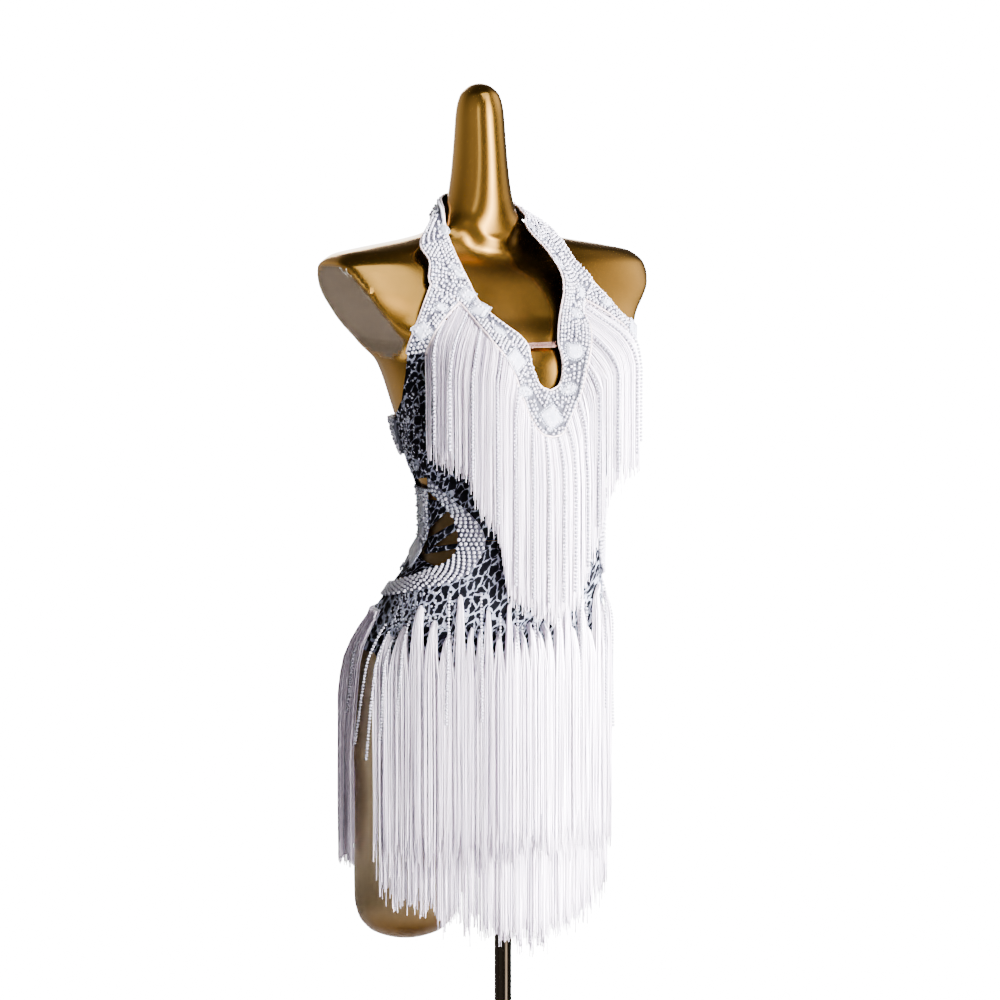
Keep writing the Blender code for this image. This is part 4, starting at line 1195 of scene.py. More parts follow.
class BeadBox:
    """Prototypes of beads and stones, each modelled once at unit size."""

    def __init__(self) -> None:
        """Models every prototype."""
        self.pearl = self._pearl(8, 6, PEARL_FLAT)
        self.ball = self._pearl(6, 5, None)
        self.crystal = self._crystal()
        self.stones = {cut: self._stone(cut) for cut in StoneCut}
        self.outlines = {cut: self._outline(shape[0]) for cut, shape in self.stones.items()}

    @staticmethod
    def _outline(points: Array) -> Array:
        """Corners of a stone's flat back, in order round it."""
        ring = points[points[:, 2] < 0.001, :2]
        return ring[np.argsort(np.arctan2(ring[:, 1], ring[:, 0]))]

    @staticmethod
    def _pearl(segments: int, rings: int, floor: float | None) -> Shape:
        """Round bead one across, cut flat where it is sewn on.

        Args:
            segments: corners round it.
            rings: rows from pole to pole.
            floor: the height of the cut, if it has one.

        Returns:
            Its points and faces.
        """
        item = primitive(bpy.ops.mesh.primitive_uv_sphere_add, segments=segments,
                         ring_count=rings, radius=0.5)
        if floor is not None:
            bpy.ops.object.mode_set(mode="EDIT")
            bpy.ops.mesh.select_all(action="SELECT")
            bpy.ops.mesh.bisect(plane_co=(0, 0, floor), plane_no=(0, 0, 1), clear_inner=True,
                                use_fill=False)
            bpy.ops.mesh.select_all(action="SELECT")
            bpy.ops.transform.translate(value=(0, 0, -floor))
            bpy.ops.object.mode_set(mode="OBJECT")
        return shape_of(item)

    @staticmethod
    def _crystal() -> Shape:
        """Small round faceted stone one across.

        Returns:
            Its points and faces.
        """
        item = primitive(bpy.ops.mesh.primitive_cylinder_add, vertices=CRYSTAL_SIDES, radius=0.5,
                         depth=CRYSTAL_GIRDLE, location=(0, 0, CRYSTAL_GIRDLE / 2))
        edit_top(item)
        bpy.ops.mesh.inset(thickness=CRYSTAL_FACET)
        bpy.ops.transform.translate(value=(0, 0, CRYSTAL_FACET))
        bpy.ops.object.mode_set(mode="OBJECT")
        return shape_of(item)

    @staticmethod
    def _stone(cut: StoneCut) -> Shape:
        """Large cut stone one long, with a girdle, a crown and a table.

        Args:
            cut: its shape.

        Returns:
            Its points and faces.
        """
        item = primitive(bpy.ops.mesh.primitive_cylinder_add, vertices=CORNERS[cut], radius=0.5,
                         depth=GIRDLE, location=(0, 0, GIRDLE / 2))
        for vertex in item.data.vertices:
            x, y, z = vertex.co
            if cut is StoneCut.SQUARE:
                turn = Matrix.Rotation(math.radians(45.0), 3, "Z")
                vertex.co = turn @ Vector((x * SQUARE_SPREAD, y * SQUARE_SPREAD, z))
            elif cut is StoneCut.LEAF:
                vertex.co = (x, y * LEAF_WIDTH * (1.0 - LEAF_TAPER * x * x), z)
            elif cut is StoneCut.FAN:
                vertex.co = (max(x, FAN_BACK) + FAN_SHIFT, y * (FAN_WIDTH + FAN_FLARE * x), z)
            else:
                vertex.co = (x, y * OVAL_WIDTH, z)
        item.data.update()
        bpy.ops.object.mode_set(mode="EDIT")
        bpy.ops.mesh.select_all(action="SELECT")
        bpy.ops.mesh.remove_doubles(threshold=0.001)
        bpy.ops.mesh.normals_make_consistent(inside=False)
        bpy.ops.object.mode_set(mode="OBJECT")
        edit_top(item)
        for inward, upward in FACETS:
            bpy.ops.mesh.inset(thickness=inward)
            bpy.ops.transform.translate(value=(0, 0, upward))
        bpy.ops.object.mode_set(mode="OBJECT")
        return shape_of(item)


@dataclass(frozen=True)
class Stone:
    """A large sewn stone at a site."""

    bearing: float
    height: float
    size: float
    cut: StoneCut = StoneCut.OVAL
    turn: float = 0.0


@dataclass(frozen=True)
class Beading:
    """How pearls are packed over a piece.

    Pitch, size and bare margin are in metres. Sparkle is the share of faceted stones among them,
    loose is how far one may stray, in pitches, fade is the share of the piece's length, from its
    start, that carries crystals, and edgewise says that the rows run along the edges.
    """

    pitch: float
    size: float
    margin: float
    sparkle: float = 0.0
    loose: float = 0.0
    fade: float = 0.0
    edgewise: bool = False


HALTER_BEADS = Beading(0.0046, 0.0036, 0.0012, 0.14, 0.12, edgewise=True)
LEG_BEADS = Beading(0.0046, 0.0036, 0.0010, 0.14, 0.12, edgewise=True)
FRONT_TRIM_BEADS = Beading(0.0053, 0.0039, 0.0004, fade=0.16)
BACK_TRIM_BEADS = Beading(0.0038, 0.0031, 0.0004, 0.75, 0.3)
BAND_BEADS = Beading(0.0042, 0.0036, 0.0006, 0.3, 0.3)
RING_REACH = RING_SIZE * 0.6  # no pearl goes nearer a stone's ring than this and
PEARL_REACH = 0.42            # this share of its own width
ROW_SHARE = 0.92              # rows across a piece stand this many pitches apart
LINE_SHARE = 0.87             # and rows along its edges this many
FADE_SPARKLE = 0.85           # share of crystals where a trim starts
STRAY = 0.35                  # how far a bead strays, for each pitch of looseness
SEWN_SIZES = (0.92, 1.06)     # of sewn pearls, as shares of their piece's
PIPING_SIDES, PIPING_STEP = 8, 0.0008


class Workroom:
    """What every sub-assembly needs to build its pieces."""

    def __init__(self, figure: Figure) -> None:
        """Keeps the figure, the materials and the beads.

        Args:
            figure: the skin that all pieces are placed by.
        """
        self.figure = figure
        self.wardrobe = Wardrobe()
        self.beads = BeadBox()
        self.chance = np.random.default_rng(11)

    def finish_piece(self, item: bpy.types.Object, finish: str, *nodes: str) -> bpy.types.Object:
        """Attach a piece to its body and hide the nodes it stands for.

        Args:
            item: the piece.
            finish: not used.
            nodes: nodes that it replaces.

        Returns:
            The piece.
        """
        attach(item, BODY)
        if nodes:
            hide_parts(*nodes)
        LOG.info("%s: %d faces", item.name, len(item.data.polygons))
        return item

    @staticmethod
    def cut(item: bpy.types.Object, patch: Patch, *under: str) -> None:
        """Takes a stretched piece of cloth and its grid, and does nothing with them.

        Args:
            item: the piece; not used.
            patch: its grid; not used.
            under: nodes that it rests on; not used.
        """

    def _ring(self, stone: Stone, place: Array, ahead: Array, side: Array) -> Array:
        """Places of the small crystals round a stone.

        Args:
            stone: the stone.
            place: where its middle is.
            ahead: the direction of its length.
            side: the direction of its width.

        Returns:
            The places, in order.
        """
        ring = self.beads.outlines[stone.cut] * stone.size
        closed = np.vstack([ring, ring[:1]])
        run = run_of(closed)
        places = np.linspace(0.0, run[-1], max(int(run[-1] / RING_PITCH), 8), endpoint=False)
        spots = on_path(places, run, closed)
        spots *= 1.0 + RING_GAP / np.linalg.norm(spots, axis=1, keepdims=True)
        return place + spots[:, :1] * ahead + spots[:, 1:] * side

    def sew_stones(self, name: str, patch: Patch, stones: Sequence[Stone],
                   lift: float) -> tuple[list[bpy.types.Object], Array]:
        """Large stones on a piece, each in a ring of small crystals.

        Args:
            name: the new pieces' name.
            patch: the cloth that carries them.
            stones: the stones.
            lift: the outer side's height over the patch.

        Returns:
            The pieces, and rows of a place and a reach that no pearl may enter.
        """
        grid, normals = patch.raised(lift).reshape(-1, 3), patch.normals.reshape(-1, 3)
        along = patch.along.reshape(-1, 3)
        cut, rings, taken = [], [], []
        for stone in stones:
            site = self.figure.skin(np.array([stone.bearing]), np.array([stone.height]))[0]
            k = int(np.argmin(((grid - site)**2).sum(-1)))
            place, out, ahead = grid[k], normals[k], along[k]
            angle = math.radians(stone.turn)
            ahead = ahead * math.cos(angle) + np.cross(out, ahead) * math.sin(angle)
            cut.append(copies(self.beads.stones[stone.cut], place[None], ahead[None],
                              out[None], np.array([stone.size])))
            spots = self._ring(stone, place, ahead, np.cross(out, ahead))
            rings.append(copies(self.beads.crystal, spots, np.tile(ahead, (len(spots), 1)),
                                np.tile(out, (len(spots), 1)), np.full(len(spots), RING_SIZE)))
            taken += [(*spot, RING_REACH) for spot in (*spots[::2], place)]
        made = []
        for ending, parts, finish in (("stones", cut, "flat_stone"), ("rings", rings, "crystal")):
            item = mesh_object(f"{name}_{ending}", *joined(parts), [self.wardrobe.get(finish)],
                               smooth=False)
            made.append(self.finish_piece(item, finish))
        return made, np.array(taken)

    @staticmethod
    def _crosswise(patch: Patch, beads: Beading) -> tuple[Array, Array]:
        """Places of beads in staggered rows across a piece.

        Args:
            patch: the piece.
            beads: how they are packed.

        Returns:
            Where each is along the piece, in rows, and across it, from 0 to 1.
        """
        count = np.arange(len(patch.points))
        run = run_of(patch.points[:, patch.points.shape[1] // 2])
        widths = patch.widths()
        pitch = beads.pitch
        rows, parts = [], []
        for k, place in enumerate(np.arange(pitch * 0.6, run[-1] - pitch * 0.3,
                                            pitch * ROW_SHARE)):
            row = float(np.interp(place, run, count))
            width = float(np.interp(row, count, widths))
            room = width - 2 * beads.margin - beads.size * 0.5
            number = max(int(round(room / pitch)) + 1 - k % 2, 1)
            step = room / max(int(round(room / pitch)), 1)
            rows += [row] * number
            parts += list(0.5 + (np.arange(number) - (number - 1) / 2) * step / width)
        return np.array(rows), np.array(parts)

    @staticmethod
    def _edgewise(patch: Patch, beads: Beading) -> tuple[Array, Array]:
        """Places of beads in lines that follow both long edges and meet in the middle.

        Args:
            patch: the piece.
            beads: how they are packed.

        Returns:
            Where each is along the piece, in rows, and across it, from 0 to 1.
        """
        points, pitch = patch.points, beads.pitch
        if patch.closed:
            points = np.concatenate([points, points[:1]])
        count = np.arange(len(points))
        across = runs(points)
        width, share = across[:, -1], np.linspace(0.0, 1.0, points.shape[1])
        steps = (-1, 0, 1)
        rows, parts, placed = [], [], {}
        for k in range(int(width.max() / 2 / pitch / LINE_SHARE) + 1):
            offset = beads.margin + beads.size * 0.5 + k * pitch * LINE_SHARE
            for deep in (np.full(len(points), offset), width - offset):
                part = np.array([np.interp(d, row, share) for d, row in zip(deep, across)])
                column = part * (points.shape[1] - 1)
                j = np.clip(np.floor(column).astype(int), 0, points.shape[1] - 2)
                v = (column - j)[:, None]
                line = points[count, j] * (1 - v) + points[count, j + 1] * v
                run = run_of(line)
                for place in np.arange(pitch * (0.25 + 0.5 * (k % 2)), run[-1], pitch):
                    row = float(np.interp(place, run, count))
                    if offset > np.interp(row, count, width) / 2 + pitch * 0.25:
                        continue
                    spot = on_path(place, run, line)
                    x, y, z = np.floor(spot / pitch).astype(int)
                    cells = [(x + a, y + b, z + c) for a in steps for b in steps for c in steps]
                    if any(np.linalg.norm(spot - other) < pitch * 0.80
                           for cell in cells for other in placed.get(cell, ())):
                        continue
                    placed.setdefault((x, y, z), []).append(spot)
                    rows.append(min(row, len(patch.points) - 1.001))
                    parts.append(float(np.interp(row, count, part)))
        return np.array(rows), np.array(parts)

    def sew_pearls(self, name: str, patch: Patch, lift: float, beads: Beading,
                   taken: Array | None = None) -> list[bpy.types.Object]:
        """Pearls packed over a piece, some of them faceted.

        Args:
            name: the new pieces' name.
            patch: the cloth that carries them.
            lift: the outer side's height over the patch.
            beads: how they are packed.
            taken: places and reaches of stones, where no pearl goes.

        Returns:
            The pieces: pearls, and crystals if there are any.
        """
        rows, parts = (self._edgewise if beads.edgewise else self._crosswise)(patch, beads)
        count = len(patch.points)
        stray = self.chance.normal(0.0, beads.loose * STRAY * beads.pitch, (2, len(rows)))
        rows = np.clip(rows + stray[0] * count / patch.length(), 0.0, count - 1.001)
        parts = np.clip(parts + stray[1] / patch.widths().mean(), 0.02, 0.98)
        spots, normals, along = patch.at(rows, parts)
        spots = spots + normals * lift
        keep = np.ones(len(spots), bool)
        if taken is not None:
            away = np.linalg.norm(spots[:, None] - taken[None, :, :3], axis=-1)
            keep = (away > taken[None, :, 3] + beads.size * PEARL_REACH).all(1)
        cut = self.chance.random(len(spots)) < np.where(rows < beads.fade * count, FADE_SPARKLE,
                                                         beads.sparkle)
        sizes = beads.size * self.chance.uniform(*SEWN_SIZES, len(spots))
        made = []
        for shape, chosen, finish, ending in (
                (self.beads.pearl, keep & ~cut, "pearl", "pearls"),
                (self.beads.crystal, keep & cut, "crystal", "crystals")):
            if chosen.any():
                points, faces = copies(shape, spots[chosen], along[chosen], normals[chosen],
                                       sizes[chosen])
                item = mesh_object(f"{name}_{ending}", points, faces,
                                   [self.wardrobe.get(finish)], smooth=finish == "pearl")
                made.append(self.finish_piece(item, finish))
        return made

    def piping(self, name: str, patch: Patch, lift: float, radius: float,
               edges: Sequence[int]) -> bpy.types.Object:
        """Rolled edge along the long sides of a piece.

        Args:
            name: the new piece's name.
            patch: the piece that it edges.
            lift: its middle's height over the patch.
            radius: half its thickness.
            edges: columns of the patch that it follows.

        Returns:
            The rolled edge.
        """
        lines = np.stack([patch.raised(lift)[:, edge] for edge in edges])
        points, faces = tubes(lines, radius, PIPING_SIDES, patch.closed)
        turns = np.linspace(0.0, patch.length(), lines.shape[1])
        around = np.arange(PIPING_SIDES) * PIPING_STEP
        uv = np.stack([np.tile(around, len(edges) * lines.shape[1]),
                       np.tile(np.repeat(turns, PIPING_SIDES), len(edges))], -1)
        item = mesh_object(name, points, faces, [self.wardrobe.get("pale_piping")], uv)
        return self.finish_piece(item, "pale_piping")


# ---------------------------------------------------------------- form and stand
@dataclass
class DressForm:
    """Gold lacquered torso without limbs, finely surfaced, its cut shoulders worn."""

    room: Workroom
    cuts: int = 3
    merge: float = 0.00005
    skin_low: float = 0.7905      # vertices between this height
    skin_high: float = NECK_TOP - 0.0005  # and this one are moved onto the skin
    easing: float = 0.5
    easings: int = 6
    rub_width: float = 0.0045
    rub_from: float = 1.318
    rub_back: float = 0.012       # rubbed only in front of here,
    rub_fade: float = 0.02        # and fading over this length
    sawn_share: float = 0.4       # of the cut's ease, where the sawn faces end
    sawn_from: float = 0.05
    throat: float = 0.020
    throat_height: float = 1.362
    throat_reach: float = 0.020
    throat_width: float = 0.075
    throat_back: float = 0.026
    throat_fade: float = 0.012
    throat_ease: float = 0.0036
    throat_half: float = 0.060
    neck_centre: float = 0.041
    column: float = 0.040

    def build(self) -> list[bpy.types.Object]:
        """Refine a merged copy of the form's solid onto its true skin.

        Returns:
            The torso.
        """
        item = linked("form_torso", bpy.data.objects["dress_form"].data.copy())
        select_only(item)
        bpy.ops.object.mode_set(mode="EDIT")
        bpy.ops.mesh.select_all(action="SELECT")
        bpy.ops.mesh.remove_doubles(threshold=self.merge)
        bpy.ops.mesh.subdivide(number_cuts=self.cuts, smoothness=0.0)
        bpy.ops.object.mode_set(mode="OBJECT")
        self._fit(item)
        item.data.materials.clear()
        item.data.materials.append(self.room.wardrobe.get("gold_lacquer"))
        item.data.polygons.foreach_set("use_smooth", np.ones(len(item.data.polygons), bool))
        self._rub(item)
        return [self.room.finish_piece(item, "gold_lacquer", "dress_form")]

    def _fit(self, item: bpy.types.Object) -> None:
        """Move the torso's vertices onto the skin, and smooth the thighs and the throat.

        Args:
            item: the torso.
        """
        points = vertices_of(item)
        torso = (points[:, 2] > self.skin_low) & (points[:, 2] < self.skin_high)
        figure = self.room.figure
        points[torso] = figure.skin(figure.bearing_of(points[torso]), points[torso, 2])
        points[:, 1] += self._throat(points)
        item.data.vertices.foreach_set("co", points.ravel())
        item.data.update()
        throat = (np.abs(points[:, 2] - self.throat_height) < 2 * self.throat_reach)
        throat &= (np.abs(points[:, 0]) < self.throat_half) & (points[:, 1] < AXIS_Y)
        group = item.vertex_groups.new(name="eased")
        group.add([int(k) for k in np.flatnonzero(~torso | throat)], 1.0, "REPLACE")
        smooth = item.modifiers.new("smooth", "SMOOTH")
        smooth.vertex_group = group.name
        smooth.factor, smooth.iterations = self.easing, self.easings
        select_only(item)
        bpy.ops.object.modifier_apply(modifier=smooth.name)

    def _throat(self, points: Array) -> Array:
        """How far back the chest is hollowed beside the foot of the neck's column.

        Args:
            points: places on the torso.

        Returns:
            A length for each place.
        """
        across, along, height = points.T
        front = np.clip((self.throat_back - along) / self.throat_fade, 0.0, 1.0)
        level = (height - self.throat_height) / self.throat_reach
        hollow = self.throat * np.exp(-(across / self.throat_width)**2 - level**2)
        column = self.neck_centre - np.sqrt(np.maximum(self.column**2 - across**2, 0.0))
        room = np.maximum(column - along, 0.0)
        least = -self.throat_ease * np.logaddexp(-hollow / self.throat_ease,
                                                 -room / self.throat_ease)
        return front * np.maximum(least, 0.0)

    def _rub(self, item: bpy.types.Object) -> None:
        """Mark the rubbed edges of the cut shoulders, and their sawn faces.

        Args:
            item: the torso.
        """
        points = vertices_of(item)
        across, along, height = np.abs(points[:, 0]), points[:, 1], points[:, 2]
        cut = Figure.arm_cut(height, points[:, 0])
        width = Figure.sections(height)[0]
        bearing = Figure.bearing_of(points)
        flat = cut / np.maximum(np.abs(np.sin(np.radians(bearing))), LEAST_SINE)
        deep = flat - self.room.figure.reach(bearing, height)
        near = np.abs(across - cut) < self.rub_width
        edge = np.exp(-((deep / self.rub_width)**2)) * near * (width > cut)
        front = np.clip(1.0 - (along - self.rub_back) / self.rub_fade, 0.0, 1.0)
        level = np.clip((height - self.rub_from) / self.rub_fade, 0.0, 1.0)
        flush = np.clip(1.0 - deep / (self.sawn_share * ARM_CUT_EASE), 0.0, 1.0)
        flush = flush * (across > self.sawn_from) * (width > cut)
        for name, mask in (("rub", edge * front * level), ("sawn", flush)):
            attribute = item.data.attributes.new(name, "FLOAT", "POINT")
            attribute.data.foreach_set("value", mask.astype(np.float32))


@dataclass
class Stand:
    """Pole and weighted round foot."""

    room: Workroom
    foot_sides: int = 96
    pole_sides: int = 48
    plate: float = 0.012          # the foot's thickness, below its hub
    hub: float = 0.034
    hub_inset: float = 0.004
    hub_rises: tuple[float, float] = (0.010, 0.008)
    hub_shoulder: float = 0.018   # where they end; the rest of its height follows
    hub_sizes: tuple[float, float, float] = (0.94, 0.90, 0.80)
    collar: tuple[float, float, float] = (0.020, 0.021, 0.022)   # its top, slope and neck
    collar_swell: float = 1.18
    bevel: float = 0.0016
    hard: float = 30.0            # edges sharper than this are beveled,
    sharp: float = 40.0           # and shading breaks at those sharper than this

    def build(self) -> list[bpy.types.Object]:
        """Model the pole and the foot."""
        return [self._foot(), self._pole()]

    def _foot(self) -> bpy.types.Object:
        """Round plate with a raised hub and soft edges.

        Returns:
            The foot.
        """
        low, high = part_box("stand_base")
        centre = (low + high) / 2
        radius = (high.x - low.x) / 2
        item = primitive(bpy.ops.mesh.primitive_cylinder_add, vertices=self.foot_sides,
                         radius=radius, depth=self.plate,
                         location=(centre.x, centre.y, low.z + self.plate / 2))
        item.name = "round_foot"
        edit_top(item)
        bpy.ops.mesh.inset(thickness=radius - self.hub)
        bpy.ops.mesh.inset(thickness=self.hub_inset)
        rises = (*self.hub_rises, high.z - low.z - self.plate - self.hub_shoulder)
        for rise, size in zip(rises, self.hub_sizes):
            bpy.ops.mesh.extrude_region_move(TRANSFORM_OT_translate={"value": (0, 0, rise)})
            bpy.ops.transform.resize(value=(size, size, 1.0),
                                     center_override=(centre.x, centre.y, 0.0))
        bpy.ops.object.mode_set(mode="OBJECT")
        return self._soften(item, "base_bronze", "stand_base")

    def _pole(self) -> bpy.types.Object:
        """Tube from the hub into the form, with a collar at its foot.

        Returns:
            The pole.
        """
        low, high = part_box("stand_pole")
        item = primitive(bpy.ops.mesh.primitive_cylinder_add, vertices=self.pole_sides,
                         radius=(high.x - low.x) / 2, depth=high.z - low.z,
                         location=(low + high) / 2)
        item.name = "upright_pole"
        top, slope, neck = (low.z + height for height in self.collar)
        bpy.ops.object.mode_set(mode="EDIT")
        bpy.ops.mesh.select_mode(type="FACE")
        for level in (top, neck):
            bpy.ops.mesh.select_all(action="SELECT")
            bpy.ops.mesh.bisect(plane_co=(0, 0, level), plane_no=(0, 0, 1))
        bpy.ops.object.mode_set(mode="OBJECT")
        for vertex in item.data.vertices:
            if vertex.co.z + item.location.z < slope:
                vertex.co.x *= self.collar_swell
                vertex.co.y *= self.collar_swell
        return self._soften(item, "pole_chrome", "stand_pole")

    def _soften(self, item: bpy.types.Object, finish: str, node: str) -> bpy.types.Object:
        """Bevel the hard edges, shade smooth, attach to the body and hide the node it stands for.

        Args:
            item: the piece.
            finish: its finish.
            node: the node that it replaces.

        Returns:
            The piece.
        """
        select_only(item)
        bpy.ops.object.transform_apply(location=True, rotation=True, scale=True)
        bevel = item.modifiers.new("edges", "BEVEL")
        bevel.width, bevel.segments = self.bevel, 3
        bevel.limit_method, bevel.angle_limit = "ANGLE", math.radians(self.hard)
        bpy.ops.object.modifier_apply(modifier=bevel.name)
        bpy.ops.object.shade_smooth_by_angle(angle=math.radians(self.sharp))
        item.data.materials.clear()
        item.data.materials.append(self.room.wardrobe.get(finish))
        return self.room.finish_piece(item, finish, node)


# ---------------------------------------------------------------- halter
@dataclass(frozen=True)
class Station:
    """Where the halter's two edges pass, and how far each stands off its rest."""

    inner: float
    inner_height: float
    inner_lift: float
    outer: float
    outer_height: float
    outer_lift: float


RIGHT_STATIONS = (
    Station(0.0, 1.2150, 0.0, 0.0, 1.166, 0.0),
    Station(6.5, 1.2210, 0.0, 7.0, 1.171, 0.0),
    Station(10.5, 1.236, 0.0, 13.0, 1.188, 0.0),
    Station(12.0, 1.249, 0.0, 19.0, 1.214, 0.0),
    Station(12.0, 1.261, 0.0, 25.0, 1.244, 0.0),
    Station(17.0, 1.271, 0.001, 32.0, 1.264, 0.0),
    Station(26.0, 1.281, 0.002, 38.0, 1.279, 0.0),
    Station(36.0, 1.294, 0.003, 44.0, 1.291, 0.0),
    Station(45.0, 1.310, 0.003, 53.0, 1.307, 0.0),
    Station(52.0, 1.327, 0.003, 66.5, 1.327, 0.0),
    Station(62.0, 1.350, 0.003, 71.0, 1.350, 0.001),
    Station(80.0, 1.3765, 0.002, 79.5, 1.3665, 0.002),
    Station(119.0, 1.406, 0.001, 107.0, 1.390, 0.004),
    Station(150.0, 1.421, 0.0, 142.0, 1.394, 0.002),
    Station(180.0, 1.426, 0.0, 180.0, 1.394, 0.001),
)
LEFT_STATIONS = (
    RIGHT_STATIONS[0],
    Station(6.5, 1.2210, 0.0, 6.5, 1.171, 0.0),
    Station(10.0, 1.236, 0.0, 12.0, 1.188, 0.0),
    Station(10.5, 1.249, 0.001, 18.0, 1.209, 0.0),
    Station(11.0, 1.262, 0.002, 22.5, 1.239, 0.0),
    Station(14.0, 1.273, 0.004, 28.0, 1.262, 0.0),
    Station(20.0, 1.284, 0.007, 34.0, 1.278, 0.0),
    Station(28.0, 1.297, 0.010, 42.0, 1.293, 0.0),
    Station(37.0, 1.312, 0.012, 52.0, 1.307, 0.0),
    Station(45.0, 1.331, 0.014, 64.0, 1.327, 0.0),
    Station(50.0, 1.353, 0.011, 65.0, 1.347, 0.001),
    Station(68.0, 1.381, 0.005, 77.0, 1.371, 0.002),
    Station(116.0, 1.406, 0.003, 107.0, 1.385, 0.006),
    Station(150.0, 1.421, 0.001, 142.0, 1.392, 0.002),
    RIGHT_STATIONS[-1],
)
RIGHT_LEG = (Station(56.0, 1.286, 0.0, 65.0, 1.297, 0.0),
             Station(59.0, 1.258, 0.0, 67.0, 1.261, 0.0))
LEFT_LEG = (Station(55.5, 1.286, 0.0, 62.5, 1.297, 0.0),
            Station(58.5, 1.258, 0.0, 66.0, 1.261, 0.0))
APEX = 8                      # station where the leg to the armhole begins
HALTER_STONES = (
    Stone(-83.0, 1.378, 0.017, StoneCut.LEAF), Stone(-59.0, 1.338, 0.018, StoneCut.LEAF, 30.0),
    Stone(-50.0, 1.314, 0.015, StoneCut.SQUARE, 12.0),
    Stone(-41.0, 1.298, 0.018, StoneCut.SQUARE, 25.0), Stone(-30.0, 1.276, 0.014, StoneCut.OVAL),
    Stone(-22.0, 1.248, 0.021, StoneCut.SQUARE, 8.0),
    Stone(-17.0, 1.216, 0.019, StoneCut.LEAF, 55.0),
    Stone(-1.0, 1.188, 0.022, StoneCut.SQUARE, 50.0),
    Stone(12.0, 1.216, 0.018, StoneCut.LEAF, -55.0), Stone(19.0, 1.259, 0.023, StoneCut.FAN, 15.0),
    Stone(33.0, 1.292, 0.018, StoneCut.FAN, 20.0), Stone(45.0, 1.338, 0.017, StoneCut.LEAF),
    Stone(52.0, 1.314, 0.013, StoneCut.OVAL, 30.0), Stone(76.0, 1.383, 0.015, StoneCut.LEAF, 10.0),
    Stone(-118.0, 1.398, 0.013, StoneCut.OVAL), Stone(118.0, 1.398, 0.013, StoneCut.OVAL),
    Stone(-152.0, 1.409, 0.015, StoneCut.SQUARE), Stone(152.0, 1.409, 0.015, StoneCut.SQUARE),
    Stone(180.0, 1.411, 0.015, StoneCut.FAN),
)
LEG_STONES = (Stone(60.0, 1.301, 0.014, StoneCut.OVAL, 60.0),
              Stone(62.0, 1.278, 0.017, StoneCut.SQUARE, 30.0))


@dataclass
class Halter:
    """Beaded net halter with a keyhole, black inside."""

    room: Workroom
    steps: int = 8
    across: int = 12
    leg_rows: int = 16
    leg_across: int = 8
    piping: float = 0.0012
    piping_lift: float = BEADED * 0.6

    def _knots(self, stations: Sequence[Station], side: int, inner: bool) -> Array:
        """Knots of one edge.

        Args:
            stations: where it passes.
            side: -1 for the wearer's right, 1 for the left.
            inner: whether it is the inner edge.

        Returns:
            The knots.
        """
        cells = np.array([(s.inner, s.inner_height, s.inner_lift) if inner
                          else (s.outer, s.outer_height, s.outer_lift) for s in stations])
        return self.room.figure.lifted(side * cells[:, 0], cells[:, 1], HALTER_LIFT + cells[:, 2])

    def edges(self, side: int) -> tuple[Array, Array, Array, Array]:
        """Knots of one half's four edges.

        Args:
            side: -1 for the wearer's right, 1 for the left.

        Returns:
            Inner, outer, leg lower and leg upper edge.
        """
        rows, leg = (RIGHT_STATIONS, RIGHT_LEG) if side < 0 else (LEFT_STATIONS, LEFT_LEG)
        outer = self._knots(rows, side, False)
        return (self._knots(rows, side, True), outer,
                np.vstack([outer[APEX], self._knots(leg, side, True)]),
                np.vstack([outer[APEX + 1], self._knots(leg, side, False)]))

    def loop(self) -> Patch:
        """The whole halter from the centre front round the nape and back.

        Returns:
            Its grid, closed.
        """
        halves = []
        places = np.arange((len(RIGHT_STATIONS) - 1) * self.steps + 1) / self.steps
        for side in (-1, 1):
            inner, outer, _, _ = self.edges(side)
            halves.append(between(eased_path(outer, places), eased_path(inner, places),
                                  self.across + 1))
        grid = np.concatenate([halves[0], halves[1][-2:0:-1]])
        return Patch(self.room.figure.kept_off(grid, HALTER_LIFT), closed=True)

    def leg(self, side: int) -> Patch:
        """One leg, from under the strap's outer edge down to the armhole.

        Args:
            side: -1 for the wearer's right, 1 for the left.

        Returns:
            Its grid.
        """
        _, _, low, high = self.edges(side)
        places = np.linspace(0.0, 2.0, self.leg_rows)
        grid = between(eased_path(low, places), eased_path(high, places), self.leg_across + 1)
        return Patch(self.room.figure.kept_off(grid, HALTER_LIFT))

    def build(self) -> list[bpy.types.Object]:
        """Net, lining, piping, pearls and stones.

        Returns:
            The pieces.
        """
        room = self.room
        loop = self.loop()
        looks = [room.wardrobe.get("silver_net"), room.wardrobe.get("black_lining")]
        net = loop.wall("halter_net", BEADED, looks)
        pieces = [room.finish_piece(net, "silver_net", "halter_yoke")]
        stones, taken = room.sew_stones("halter", loop, HALTER_STONES, BEADED)
        pieces += stones
        pieces += room.sew_pearls("halter", loop, BEADED, HALTER_BEADS, taken)
        pieces.append(room.piping("halter_piping", loop, self.piping_lift, self.piping,
                                  (0, self.across)))
        for side, hand in HANDS:
            leg = self.leg(side)
            item = leg.wall(f"halter_leg_{hand}", BEADED, looks)
            pieces.append(room.finish_piece(item, "silver_net"))
            room.cut(item, leg, "bodice_front")
            stones = [Stone(side * s.bearing, s.height, s.size, s.cut, side * s.turn)
                      for s in LEG_STONES]
            made, taken = room.sew_stones(f"halter_leg_{hand}", leg, stones, BEADED)
            pieces += made
            pieces += room.sew_pearls(f"halter_leg_{hand}", leg, BEADED, LEG_BEADS, taken)
            pieces.append(room.piping(f"halter_leg_{hand}_piping", leg, self.piping_lift,
                                      self.piping, (0, self.leg_across)))
        room.cut(net, loop, "dress_form", "bodice_front")
        return pieces


